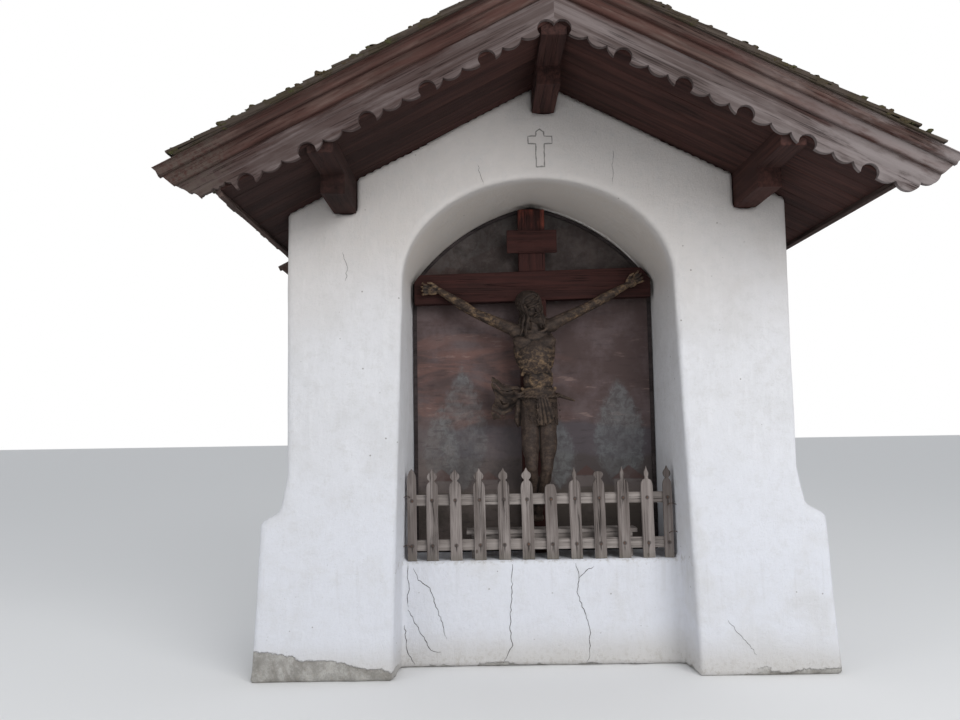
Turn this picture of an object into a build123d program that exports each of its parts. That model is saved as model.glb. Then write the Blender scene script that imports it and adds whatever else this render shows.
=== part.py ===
"""Small wayside chapel: whitewashed masonry with an arched niche under a gable roof.

Millimetres, +Z up, front towards -Y, ground at z = 0.  While the pieces are
drawn, y = 0 is the front face of the masonry and x = 0 is the ridge line.
Each piece is moved to the middle of the roof's depth as it is written.
"""
import os
from math import cos, radians, sin, tan

from build123d import *

os.makedirs("parts", exist_ok=True)

# Masonry
wall_width = 2900.0
wall_depth = 1300.0
masonry_shift = -50.0
plinth_base_width = 3300.0
plinth_top_width = 3200.0
ledge_outer_z = 880.0
ledge_inner_z = 940.0
ledge_inner_width = 2980.0
plain_wall_z = 1150.0
ledge_round = 45.0
arris_round = 30.0
niche_round = 20.0

# Niche
niche_front_width = 1570.0
niche_ground_width = 1720.0
niche_back_width = 1560.0
niche_depth = 620.0
niche_spring_z = 2250.0
front_arch_rise = 596.0
back_shoulder_z = 2330.0
back_arch_rise = 510.0
back_arch_radius = 1274.0
sill_z = 610.0
sill_setback = 240.0

# Roof
pitch = 27.0
ridge_soffit_z = 3415.0
front_overhang = 740.0
back_overhang = 300.0
eave_overhang = 148.0
deck_thickness = 25.0
rafter_depth = 200.0
eave_board_thickness = 25.0
eave_board_drop = 30.0
shingle_eave_overhang = 115.0
shingle_thickness = 40.0
shingle_overhang = 20.0
ridge_board_width = 170.0
ridge_board_thickness = 22.0

# Purlins
purlin_width = 130.0
side_purlin_inset = 285.0
side_purlin_depth = 171.0
ridge_purlin_depth = 182.0
head_length = 340.0
head_rise = 105.0
back_head_length = 120.0

# Bargeboards
barge_thickness = 25.0
barge_tail = 235.0
barge_drop = 42.0
lower_moulding_rise = 110.0
upper_moulding_rise = 170.0
moulding_round = 12.0
scallop_count = 6
first_cutout = 60.0
cutout_radius = 45.0
cutout_drop = 30.0
near_lobe = 88.0
tooth_length = 51.0
cusp_drop = 15.0
tooth_drop = 48.0
tail_lobe = 113.0
tail_lobe_drop = 36.0
tail_step_rise = 32.0
tail_curve = 72.0
tail_curve_rise = 106.0
tail_slant = 28.0
tail_tip = 21.0
tail_tip_rise = 190.0

# Panel at the back of the niche
panel_thickness = 15.0
panel_margin = 6.0
frame_width = 24.0
frame_thickness = 14.0

# Cross
cross_gap = 12.0
timber_thickness = 80.0
post_width = 170.0
post_top_gap = 45.0
beam_height = 190.0
beam_end_gap = 23.0
beam_drop = 35.0
beam_tilt = 1.2
title_width = 320.0
title_height = 148.0
title_thickness = 18.0
title_rise = 285.0

# Carved figure
neck_drop = 245.0
head_height = 190.0
head_width = 175.0
head_tilt = 30.0
shoulder_half = 125.0
shoulder_drop = 295.0
body_axis = 65.0
chest_depth = 170.0
ribs_fill = 0.86
chest_fill = 0.94
shoulder_fill = 1.10
neck_fill = 0.42
chest_drop = 385.0
waist_width = 172.0
waist_drop = 620.0
hip_width = 235.0
hip_drop = 705.0
hip_sway = 20.0
cloth_length = 195.0
cloth_depth = 170.0
tail_reach = 300.0
tail_top_rise = 85.0
tail_low_drop = 115.0
tail_root = 70.0
tail_root_drop = 25.0
tail_root_height = 100.0
tail_thickness = 35.0
tail_gap = 10.0
left_shoulder_drop = 309.0
left_elbow_x = 374.0
left_elbow_drop = 176.0
left_wrist_x = 597.0
left_wrist_drop = 27.0
left_hand_rise = 4.0
right_shoulder_drop = 270.0
right_elbow_x = 373.0
right_elbow_drop = 136.0
right_wrist_x = 598.0
right_wrist_drop = 13.0
right_hand_rise = 32.0
upper_arm_radius = 38.0
elbow_radius = 30.0
wrist_radius = 22.0
wrist_axis = 25.0
hand_length = 95.0
hand_width = 56.0
hand_thickness = 30.0
joint_swell = 1.05
thigh_radius = 58.0
knee_radius = 43.0
ankle_radius = 27.0
knee_axis = 158.0
knee_drop = 1150.0
ankle_drop = 1360.0
foot_length = 95.0

# Picket fence
picket_count = 12
picket_width = 70.0
end_picket_width = 62.0
picket_pitch = 143.0
picket_thickness = 20.0
picket_height = 545.0
fence_setback = 15.0
fence_end_gap = 4.0
rail_height = 64.0
rail_thickness = 26.0
lower_rail_rise = 57.0
upper_rail_rise = 323.0
rail_end_gap = 4.0
finial_width = 58.0
finial_neck = 34.0
finial_height = 47.0
finial_neck_drop = 73.0
finial_tip_width = 24.0
finial_tip_drop = 21.0
picket_shoulder_drop = 103.0
picket_shoulder_curve = 30.0
picket_shoulder_inset = 4.0

# Flower bench
bench_length = 1030.0
bench_x = 75.0
bench_height = 168.0
bench_depth = 145.0
bench_setback = 320.0
slat_count = 3
slat_gap = 8.0
slat_thickness = 24.0
apron_height = 46.0
leg_size = 40.0
leg_inset = 30.0

# Derived places
SLOPE = radians(pitch)
RAFTER_TOP = deck_thickness + rafter_depth
DECK_LENGTH = (wall_width / 2 + abs(masonry_shift) + eave_overhang) / cos(SLOPE)
SHINGLE_LENGTH = DECK_LENGTH + eave_board_thickness + shingle_eave_overhang
BARGE_LENGTH = DECK_LENGTH + barge_tail
CUTOUT_HALF = (cutout_radius**2 - (barge_drop - cutout_drop) ** 2) ** 0.5
CARVED_END = BARGE_LENGTH - tail_lobe - tail_curve - tail_slant - tail_tip
SCALLOP_PERIOD = (CARVED_END - near_lobe - CUTOUT_HALF - first_cutout) / (scallop_count - 1)
FAR_LOBE = SCALLOP_PERIOD - 2 * CUTOUT_HALF - near_lobe - tooth_length
MASONRY = Pos(masonry_shift, 0, 0)
FRONT_Y = -(front_overhang + 3 * barge_thickness + shingle_overhang)
BACK_Y = wall_depth + back_overhang + 2 * barge_thickness + shingle_overhang
MIDDLE = Pos(0, -(FRONT_Y + BACK_Y) / 2, 0)
CROSS_BACK = niche_depth - panel_thickness - frame_thickness - cross_gap
CROSS_FRONT = CROSS_BACK - timber_thickness
CROSS_MIDDLE = CROSS_BACK - timber_thickness / 2
FENCE_FRONT = sill_setback + fence_setback
BEAM_Z = back_shoulder_z - beam_drop
POST_TOP_Z = back_shoulder_z + back_arch_rise - post_top_gap
HIP_Z = BEAM_Z - hip_drop
NECK_Z = BEAM_Z - neck_drop
SHOULDER_Z = BEAM_Z - shoulder_drop
CHEST_Z = BEAM_Z - chest_drop
WAIST_Z = BEAM_Z - waist_drop
CLOTH_BOTTOM_Z = HIP_Z - cloth_length
BENCH_TOP_Z = sill_z + bench_height
BODY_Y = CROSS_FRONT - body_axis
BIG = 4 * wall_width


def standing(face, y_front, y_back):
    """A face drawn in x and z, made solid from y_front to y_back."""
    return extrude(Plane.XZ.offset(-y_front) * face, amount=-(y_back - y_front))


def block(x0, x1, y0, y1, z0, z1):
    """A plain box between two corners."""
    box = Box(x1 - x0, y1 - y0, z1 - z0)
    return Pos((x0 + x1) / 2, (y0 + y1) / 2, (z0 + z1) / 2) * box


def on_slope(side, along, above):
    """The x and z of a point measured down a roof slope and square to it."""
    x = along * cos(SLOPE) + above * sin(SLOPE)
    z = ridge_soffit_z - along * sin(SLOPE) + above * cos(SLOPE)
    return (side * x, z)


def at_ridge(side, above):
    """The point of the middle line that lies above the boards by this much."""
    return on_slope(side, -above * tan(SLOPE), above)


def roof_layer(side, low, high, length, y_front, y_back):
    """One layer of a roof slope, from the ridge down to its lower edge."""
    corners = [
        at_ridge(side, low),
        on_slope(side, length, low),
        on_slope(side, length, high),
        at_ridge(side, high),
    ]
    return standing(make_face(Polyline(*corners, close=True)), y_front, y_back)


def under_roof():
    """Everything below the underside of the roof boards."""
    corners = [
        (0, ridge_soffit_z),
        on_slope(1, BIG, 0),
        (BIG, -BIG),
        (-BIG, -BIG),
        on_slope(-1, BIG, 0),
    ]
    return standing(make_face(Polyline(*corners, close=True)), -BIG, BIG)


def front_arch(spring):
    """The curved head of the niche at the front, as its right and left halves."""
    half = niche_front_width / 2
    right = EllipticalCenterArc((0, spring), half, front_arch_rise, start_angle=0, arc_size=90)
    left = EllipticalCenterArc((0, spring), half, front_arch_rise, start_angle=90, arc_size=90)
    return right, left


def back_arch(inset):
    """The slightly pointed head of the niche at the back, as two arcs."""
    half = niche_back_width / 2 - inset
    apex = back_shoulder_z + back_arch_rise - inset
    radius = back_arch_radius - inset
    chord = Vector(half, back_shoulder_z - apex)
    middle = Vector(half / 2, (apex + back_shoulder_z) / 2)
    sag = radius - (radius**2 - chord.length**2 / 4) ** 0.5
    crown = middle + Vector(-chord.Y, chord.X).normalized() * sag
    right = ThreePointArc((half, back_shoulder_z), (crown.X, crown.Y), (0, apex))
    left = ThreePointArc((0, apex), (-crown.X, crown.Y), (-half, back_shoulder_z))
    return right, left


def niche_face(half_bottom, half_top, spring, arcs, bottom):
    """A closed niche outline: sill line, jambs and the two halves of the head."""
    right, left = arcs
    edges = [
        Line((-half_bottom, bottom), (half_bottom, bottom)),
        Line((half_bottom, bottom), (half_top, spring)),
        right,
        left,
        Line((-half_top, spring), (-half_bottom, bottom)),
    ]
    return make_face(edges)


def niche_void():
    """The hollow of the niche, splayed from the back arch to the front arch."""
    half_back = niche_back_width / 2
    front = niche_face(
        niche_ground_width / 2, niche_front_width / 2, niche_spring_z,
        front_arch(niche_spring_z), 0,
    )
    back = niche_face(half_back, half_back, back_shoulder_z, back_arch(0), 0)
    front = Plane.XZ * front
    back = Plane.XZ.offset(-niche_depth) * back
    return MASONRY * loft([front, back], ruled=True)


def outer_masonry():
    """The plain outside of the walls with the rounded ledge down each side."""
    points = [
        (plinth_base_width / 2, 0),
        (plinth_top_width / 2, ledge_outer_z),
        (ledge_inner_width / 2, ledge_inner_z),
        (wall_width / 2, plain_wall_z),
        (wall_width / 2, ridge_soffit_z),
    ]
    mirrored = [(-x, z) for x, z in reversed(points)]
    face = make_face(Polyline(*points, *mirrored, close=True))
    soft = [v for v in face.vertices() if ledge_outer_z - 1 < v.Y < ledge_inner_z + 1]
    face = fillet(soft, ledge_round)
    return MASONRY * standing(face, 0, wall_depth)


def on_plane(edge, y):
    """Whether an edge lies wholly in the plane at y."""
    box = edge.bounding_box()
    return abs(box.min.Y - y) < 0.01 and abs(box.max.Y - y) < 0.01


def is_upright(edge):
    box = edge.bounding_box()
    return box.max.Z - box.min.Z > 0.01


def masonry():
    """The whole masonry with its soft arrises and the beds of the purlins."""
    body = outer_masonry()
    corners = [e for e in body.edges() if is_upright(e) and (on_plane(e, 0) or on_plane(e, wall_depth))]
    body = fillet(corners, arris_round)
    body -= niche_void()
    reach = niche_ground_width / 2
    rim = [
        e for e in body.edges()
        if is_upright(e) and on_plane(e, 0) and abs(e.center().X - masonry_shift) < reach
    ]
    body = fillet(rim, niche_round)
    body = body & under_roof()
    for purlin in (ridge_purlin(), side_purlin(-1), side_purlin(1)):
        body -= purlin
    return body


def masonry_blocks():
    """The masonry parted into simple blocks at its natural lines."""
    body = masonry()
    left = masonry_shift - niche_back_width / 2
    right = masonry_shift + niche_back_width / 2
    low = ledge_inner_z
    high = niche_spring_z
    return {
        "left_plinth": body & block(-BIG, left, -1, BIG, 0, low),
        "right_plinth": body & block(right, BIG, -1, BIG, 0, low),
        "left_pier": body & block(-BIG, left, -1, BIG, low, high),
        "right_pier": body & block(right, BIG, -1, BIG, low, high),
        "back_wall": body & block(left, right, niche_depth, BIG, 0, high),
        "arch_wall": body & block(-BIG, BIG, -1, niche_depth, high, BIG),
        "rear_gable": body & block(-BIG, BIG, niche_depth, BIG, high, BIG),
    }


def niche_base():
    """The parapet and floor of the niche, set back between the piers."""
    return niche_void() & block(-BIG, BIG, sill_setback, BIG, 0, sill_z)


def stepped_purlin(x, bottom):
    """A purlin whose front end is cut back below, so that its head is lighter."""
    half = purlin_width / 2
    step_y = -(front_overhang - head_length)
    back_end = wall_depth + back_overhang
    long_part = block(x - half, x + half, -front_overhang, back_end, bottom + head_rise, BIG)
    deep_part = block(x - half, x + half, step_y, back_end - back_head_length, bottom, BIG)
    return (long_part + deep_part) & under_roof()


def ridge_purlin():
    return stepped_purlin(0, ridge_soffit_z - ridge_purlin_depth)


def side_purlin(side):
    x = wall_width / 2 - side_purlin_inset
    return stepped_purlin(side * x, ridge_soffit_z - x * tan(SLOPE) - side_purlin_depth)


def soffit_boards(side):
    return roof_layer(side, 0, deck_thickness, DECK_LENGTH, -front_overhang, wall_depth + back_overhang)


def rafters(side):
    """The closed pack of rafters and laths between the boards and the shingles."""
    back_end = wall_depth + back_overhang
    return roof_layer(side, deck_thickness, RAFTER_TOP, DECK_LENGTH, -front_overhang, back_end)


def shingles(side):
    """The covering, which laps over the bargeboards at both ends."""
    top = RAFTER_TOP + shingle_thickness
    return roof_layer(side, RAFTER_TOP, top, SHINGLE_LENGTH, FRONT_Y, BACK_Y)


def ridge_boards():
    """Two boards along the ridge that close the joint of the shingles."""
    low = RAFTER_TOP + shingle_thickness
    high = low + ridge_board_thickness
    pair = [roof_layer(side, low, high, ridge_board_width, FRONT_Y, BACK_Y) for side in (-1, 1)]
    return pair[0] + pair[1]


def eave_board(side):
    """The board along the lower edge of the roof, square to the slope."""
    corners = [
        on_slope(side, DECK_LENGTH, -eave_board_drop),
        on_slope(side, DECK_LENGTH + eave_board_thickness, -eave_board_drop),
        on_slope(side, DECK_LENGTH + eave_board_thickness, RAFTER_TOP),
        on_slope(side, DECK_LENGTH, RAFTER_TOP),
    ]
    face = make_face(Polyline(*corners, close=True))
    return standing(face, -front_overhang, wall_depth + back_overhang)


def bargeboard_outline(side):
    """The lower edge of a bargeboard: lobes and teeth from the ridge to the carved end."""
    def point(along, above):
        return on_slope(side, along, above)

    rim = CUTOUT_HALF
    start = point(barge_drop * tan(SLOPE), -barge_drop)
    here = point(first_cutout + rim, -barge_drop)
    edges = [Line(start, here)]
    for number in range(scallop_count):
        lobe = first_cutout + number * SCALLOP_PERIOD + rim
        cusp = point(lobe + near_lobe, -cusp_drop)
        edges.append(ThreePointArc(here, point(lobe + near_lobe / 2, -barge_drop), cusp))
        here = cusp
        lobe += near_lobe
        if number == scallop_count - 1:
            break
        cusp = point(lobe + FAR_LOBE, -cusp_drop)
        edges.append(ThreePointArc(here, point(lobe + FAR_LOBE / 2, -barge_drop), cusp))
        tooth_along = first_cutout + (number + 1) * SCALLOP_PERIOD - rim
        tooth_middle = (lobe + FAR_LOBE + tooth_along) / 2
        tooth = point(tooth_along, -tooth_drop)
        edges.append(ThreePointArc(cusp, point(tooth_middle, -0.8 * tooth_drop), tooth))
        here = point(tooth_along + 2 * rim, -barge_drop)
        edges.append(Line(tooth, here))
    lobe_end = point(lobe + tail_lobe, cusp_drop / 2)
    step = point(lobe + tail_lobe, tail_step_rise)
    curve_end = point(lobe + tail_lobe + tail_curve, tail_curve_rise)
    curve_middle = point(lobe + tail_lobe + 0.75 * tail_curve, tail_step_rise + 0.25 * tail_curve)
    edges += [
        ThreePointArc(here, point(lobe + 0.6 * tail_lobe, -tail_lobe_drop), lobe_end),
        Line(lobe_end, step),
        ThreePointArc(step, curve_middle, curve_end),
        Line(curve_end, point(BARGE_LENGTH - tail_tip, tail_tip_rise)),
        Line(point(BARGE_LENGTH - tail_tip, tail_tip_rise), point(BARGE_LENGTH, tail_tip_rise)),
        Line(point(BARGE_LENGTH, tail_tip_rise), point(BARGE_LENGTH, RAFTER_TOP)),
        Line(point(BARGE_LENGTH, RAFTER_TOP), at_ridge(side, RAFTER_TOP)),
        Line(at_ridge(side, RAFTER_TOP), start),
    ]
    return edges


def bargeboard(side, y_front, y_back):
    """A scalloped board with round cutouts and a carved lower end."""
    face = make_face(bargeboard_outline(side))
    for number in range(scallop_count):
        centre = on_slope(side, first_cutout + number * SCALLOP_PERIOD, -cutout_drop)
        face -= Pos(*centre) * Circle(cutout_radius)
    return standing(face, y_front, y_back)


def moulding(side, rise, y_front, y_back):
    """A straight moulded board on the face of a bargeboard, eased along its lower edge."""
    board = roof_layer(side, rise, RAFTER_TOP, BARGE_LENGTH, y_front, y_back)
    outward = y_front if y_front < 0 else y_back
    wanted = [
        e for e in board.edges()
        if on_plane(e, outward) and e.length > 0.9 * BARGE_LENGTH
    ]
    lower = sorted(wanted, key=lambda e: (e @ 0.5).Z)[0]
    return fillet(lower, moulding_round)


def back_panel():
    half = niche_back_width / 2 - panel_margin
    face = niche_face(half, half, back_shoulder_z, back_arch(panel_margin), sill_z)
    return MASONRY * standing(face, niche_depth - panel_thickness, niche_depth)


def panel_frame():
    """The thin strip round the edge of the panel."""
    back = niche_depth - panel_thickness
    rings = []
    for inset in (panel_margin, panel_margin + frame_width):
        half = niche_back_width / 2 - inset
        bottom = sill_z + inset - panel_margin
        face = niche_face(half, half, back_shoulder_z, back_arch(inset), bottom)
        rings.append(standing(face, back - frame_thickness, back))
    return MASONRY * (rings[0] - rings[1])


def cross_post():
    """The upright timber, halved where the beam crosses it."""
    post = block(-post_width / 2, post_width / 2, CROSS_FRONT, CROSS_BACK, sill_z, POST_TOP_Z)
    return MASONRY * (post - beam_bar(CROSS_FRONT, CROSS_MIDDLE))


def beam_bar(y_front, y_back):
    """The beam between two depths, hung a little out of level and cut to the vault."""
    half = niche_back_width / 2
    bar = block(-half, half, y_front, y_back, -beam_height / 2, beam_height / 2)
    inside = niche_face(
        half - beam_end_gap, half - beam_end_gap, back_shoulder_z, back_arch(beam_end_gap), sill_z,
    )
    return Pos(0, 0, BEAM_Z) * Rot(0, -beam_tilt, 0) * bar & standing(inside, y_front, y_back)


def cross_beam():
    """The cross timber, halved at the back where it crosses the post."""
    post = block(-post_width / 2, post_width / 2, CROSS_MIDDLE, CROSS_BACK, sill_z, POST_TOP_Z)
    return MASONRY * (beam_bar(CROSS_FRONT, CROSS_BACK) - post)


def title_board():
    y = CROSS_FRONT - title_thickness
    half = title_width / 2
    z0 = BEAM_Z + title_rise - title_height / 2
    return MASONRY * block(-half, half, y, CROSS_FRONT, z0, z0 + title_height)


def before_cross(solid):
    """A carved piece with its back flat against the timbers."""
    return MASONRY * (solid & block(-BIG, BIG, -BIG, CROSS_FRONT, -BIG, BIG))


def oval(width, depth, x, y, z):
    return Pos(x, y, z) * Ellipse(width / 2, depth / 2)


def limb(start, end, start_radius, end_radius):
    """A tapered round limb between two points, with a slightly fuller joint at its far end."""
    direction = Vector(end) - Vector(start)
    plane = Plane(origin=start, z_dir=direction)
    cone = Cone(start_radius, end_radius, direction.length, align=(Align.CENTER, Align.CENTER, Align.MIN))
    return plane * cone + Pos(*end) * Sphere(joint_swell * end_radius)


def figure_torso():
    """Chest and waist, from the hips to the base of the neck."""
    wide = 2 * shoulder_half
    sections = [
        oval(hip_width, chest_depth, hip_sway, BODY_Y, HIP_Z),
        oval(waist_width, 0.85 * chest_depth, hip_sway, BODY_Y, WAIST_Z),
        oval(ribs_fill * wide, chest_depth, hip_sway / 2, BODY_Y, (WAIST_Z + CHEST_Z) / 2),
        oval(chest_fill * wide, chest_depth, 0, BODY_Y, CHEST_Z),
        oval(shoulder_fill * wide, 0.9 * chest_depth, 0, BODY_Y, SHOULDER_Z),
        oval(neck_fill * wide, 0.7 * chest_depth, 0, BODY_Y, NECK_Z),
    ]
    torso = loft(sections)
    for side in (-1, 1):
        torso -= block(*sorted((side * shoulder_half, side * BIG)), -BIG, BIG, CHEST_Z, BIG)
    return before_cross(torso)


def figure_head():
    """Neck and head bowed to one side, with hair and a short beard in its outline."""
    lean = sin(radians(head_tilt)) * head_height
    sections = [
        oval(0.60 * head_width, 0.5 * head_width, 0, BODY_Y, NECK_Z),
        oval(0.90 * head_width, 0.85 * head_width, 0, BODY_Y, NECK_Z + 0.2 * head_height),
        oval(head_width, head_width, -0.3 * lean, BODY_Y, NECK_Z + 0.5 * head_height),
        oval(0.90 * head_width, head_width, -0.5 * lean, BODY_Y, NECK_Z + 0.75 * head_height),
        oval(0.40 * head_width, 0.45 * head_width, -0.7 * lean, BODY_Y, NECK_Z + head_height),
    ]
    return before_cross(loft(sections))


def figure_arm(side, root_drop, elbow_x, elbow_drop, wrist_x, wrist_drop, hand_rise):
    """An arm stretched out and up to the beam, with its open hand."""
    wrist_y = CROSS_FRONT - wrist_axis
    root = (side * shoulder_half * 0.7, BODY_Y, BEAM_Z - root_drop)
    elbow_at = (side * elbow_x, (BODY_Y + wrist_y) / 2, BEAM_Z - elbow_drop)
    wrist_at = (side * wrist_x, wrist_y, BEAM_Z - wrist_drop)
    arm = limb(root, elbow_at, upper_arm_radius, elbow_radius)
    arm += limb(elbow_at, wrist_at, elbow_radius, wrist_radius)
    palm_plane = Plane(
        origin=(side * wrist_x, CROSS_FRONT, BEAM_Z - wrist_drop),
        x_dir=(side * cos(radians(hand_rise)), 0, sin(radians(hand_rise))),
        z_dir=(0, -1, 0),
    )
    palm = Box(hand_length, hand_width, 2 * hand_thickness, align=(Align.MIN, Align.CENTER, Align.CENTER))
    palm = fillet(palm.edges().filter_by(Axis.Z), hand_width / 4)
    arm += palm_plane * palm
    outside = block(*sorted((side * shoulder_half, side * BIG)), -BIG, BIG, -BIG, BIG)
    return before_cross(arm & outside)


def figure_loincloth():
    """The cloth round the hips with its knotted, flying end on one side."""
    sections = [
        oval(hip_width, 0.95 * cloth_depth, hip_sway, BODY_Y, CLOTH_BOTTOM_Z),
        oval(1.12 * hip_width, cloth_depth, hip_sway, BODY_Y, (CLOTH_BOTTOM_Z + HIP_Z) / 2),
        oval(1.04 * hip_width, cloth_depth, hip_sway, BODY_Y, HIP_Z),
    ]
    wrap = loft(sections)
    root_z = HIP_Z - tail_root_drop
    tail_outline = Polyline(
        (-tail_root, root_z),
        (-0.93 * tail_reach, HIP_Z + tail_top_rise),
        (-tail_reach, HIP_Z),
        (-0.85 * tail_reach, HIP_Z - tail_low_drop),
        (-tail_root, root_z - tail_root_height),
        close=True,
    )
    tail_back = CROSS_FRONT - tail_gap
    tail = standing(make_face(tail_outline), tail_back - tail_thickness, tail_back)
    return before_cross(wrap + tail)


def figure_legs():
    """Two legs bent slightly forward, one foot laid over the other."""
    legs = None
    for side in (-1, 1):
        hip = (hip_sway + side * 0.22 * hip_width, BODY_Y, CLOTH_BOTTOM_Z + knee_radius)
        knee = (hip_sway / 2 + side * 0.2 * hip_width, CROSS_FRONT - knee_axis, BEAM_Z - knee_drop)
        ankle_z = BEAM_Z - ankle_drop
        ankle = (side * 0.09 * hip_width, CROSS_FRONT - 2 * ankle_radius, ankle_z)
        toe = (side * 0.05 * hip_width, CROSS_FRONT - 2.4 * ankle_radius, ankle_z - foot_length)
        leg = limb(hip, knee, thigh_radius, knee_radius)
        leg += limb(knee, ankle, knee_radius, ankle_radius)
        leg += limb(ankle, toe, ankle_radius, 0.7 * ankle_radius)
        legs = leg if legs is None else legs + leg
    below = block(-BIG, BIG, -BIG, BIG, -BIG, CLOTH_BOTTOM_Z)
    return before_cross(legs & below)


def jamb_half(y, z):
    """Half the width of the niche at a depth and a height below the springing."""
    front = niche_ground_width + (niche_front_width - niche_ground_width) * z / niche_spring_z
    return (front + (niche_back_width - front) * y / niche_depth) / 2


def picket(width):
    """One pale: a flat board with an onion-shaped head."""
    half = width / 2
    curve = picket_height - picket_shoulder_drop - picket_shoulder_curve
    shoulder = (half - picket_shoulder_inset, picket_height - picket_shoulder_drop - finial_tip_drop / 2)
    neck = (finial_neck / 2, picket_height - finial_neck_drop)
    ball = (finial_width / 2, picket_height - finial_height)
    tip = (finial_tip_width / 2, picket_height - finial_tip_drop)
    right = [
        Line((half, 0), (half, curve)),
        ThreePointArc((half, curve), shoulder, neck),
        ThreePointArc(neck, ball, tip),
        Line(tip, (0, picket_height)),
    ]
    left = [edge.mirror(Plane.YZ) for edge in right]
    return make_face(right + left + [Line((-half, 0), (half, 0))])


def picket_fence():
    """Twelve pales on two rails, standing on the sill between the jambs."""
    back = FENCE_FRONT + picket_thickness
    reach = jamb_half(back + rail_thickness, sill_z + picket_height) - fence_end_gap
    end_x = reach - end_picket_width / 2
    places = [(-end_x, end_picket_width), (end_x, end_picket_width)]
    inner_count = picket_count - 2
    for number in range(inner_count):
        places.append(((number - (inner_count - 1) / 2) * picket_pitch, picket_width))
    fence = None
    for x, width in places:
        pale = Pos(x, 0, sill_z) * standing(picket(width), FENCE_FRONT, back)
        fence = pale if fence is None else fence + pale
    half = reach - rail_end_gap
    for z in (sill_z + lower_rail_rise, sill_z + upper_rail_rise):
        fence += block(-half, half, back, back + rail_thickness, z, z + rail_height)
    return MASONRY * fence


def bench_slats():
    """The level slats of the flower bench."""
    width = (bench_depth - (slat_count - 1) * slat_gap) / slat_count
    slats = []
    for number in range(slat_count):
        y = bench_setback + number * (width + slat_gap)
        x0 = bench_x - bench_length / 2
        slats.append(block(x0, x0 + bench_length, y, y + width, BENCH_TOP_Z - slat_thickness, BENCH_TOP_Z))
    return MASONRY * Compound(children=slats)


def bench_frame():
    """Legs and aprons of the flower bench."""
    top = BENCH_TOP_Z - slat_thickness
    x0 = bench_x - bench_length / 2 + leg_inset
    x1 = bench_x + bench_length / 2 - leg_inset
    y0 = bench_setback
    y1 = bench_setback + bench_depth
    frame = None
    for x in (x0, x1 - leg_size):
        side = block(x, x + leg_size, y0, y1, top - apron_height, top)
        for y in (y0, y1 - leg_size):
            side += block(x, x + leg_size, y, y + leg_size, sill_z, top)
        frame = side if frame is None else frame + side
    frame += block(x0, x1, y0, y0 + leg_size / 2, top - apron_height, top)
    frame += block(x0, x1, y1 - leg_size / 2, y1, top - apron_height, top)
    return MASONRY * frame


def build_parts():
    """All pieces by name."""
    parts = masonry_blocks()
    parts["niche_base"] = niche_base()
    parts["ridge_purlin"] = ridge_purlin()
    for name, side in (("left", -1), ("right", 1)):
        parts[name + "_purlin"] = side_purlin(side)
        parts[name + "_soffit_boards"] = soffit_boards(side)
        parts[name + "_rafters"] = rafters(side)
        parts[name + "_shingles"] = shingles(side)
        parts[name + "_eave_board"] = eave_board(side)
        y = -front_overhang
        t = barge_thickness
        parts["front_" + name + "_bargeboard"] = bargeboard(side, y - t, y)
        parts["front_" + name + "_lower_moulding"] = moulding(side, lower_moulding_rise, y - 2 * t, y - t)
        parts["front_" + name + "_upper_moulding"] = moulding(side, upper_moulding_rise, y - 3 * t, y - 2 * t)
        y = wall_depth + back_overhang
        parts["back_" + name + "_bargeboard"] = bargeboard(side, y, y + t)
        parts["back_" + name + "_moulding"] = moulding(side, lower_moulding_rise, y + t, y + 2 * t)
    parts["ridge_boards"] = ridge_boards()
    parts["back_panel"] = back_panel()
    parts["panel_frame"] = panel_frame()
    parts["cross_post"] = cross_post()
    parts["cross_beam"] = cross_beam()
    parts["title_board"] = title_board()
    parts["figure_head"] = figure_head()
    parts["figure_torso"] = figure_torso()
    parts["figure_left_arm"] = figure_arm(
        -1, left_shoulder_drop, left_elbow_x, left_elbow_drop, left_wrist_x, left_wrist_drop, left_hand_rise,
    )
    parts["figure_right_arm"] = figure_arm(
        1, right_shoulder_drop, right_elbow_x, right_elbow_drop, right_wrist_x, right_wrist_drop, right_hand_rise,
    )
    parts["figure_loincloth"] = figure_loincloth()
    parts["figure_legs"] = figure_legs()
    parts["picket_fence"] = picket_fence()
    parts["bench_slats"] = bench_slats()
    parts["bench_frame"] = bench_frame()
    return parts


for node, solid in build_parts().items():
    export_step(MIDDLE * solid, "parts/" + node + ".step")
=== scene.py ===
from math import asin, atan, cos, exp, pi, radians, sin
from random import Random

import bmesh
import bpy
from mathutils import Matrix, Vector, noise
from mathutils.bvhtree import BVHTree


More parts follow.
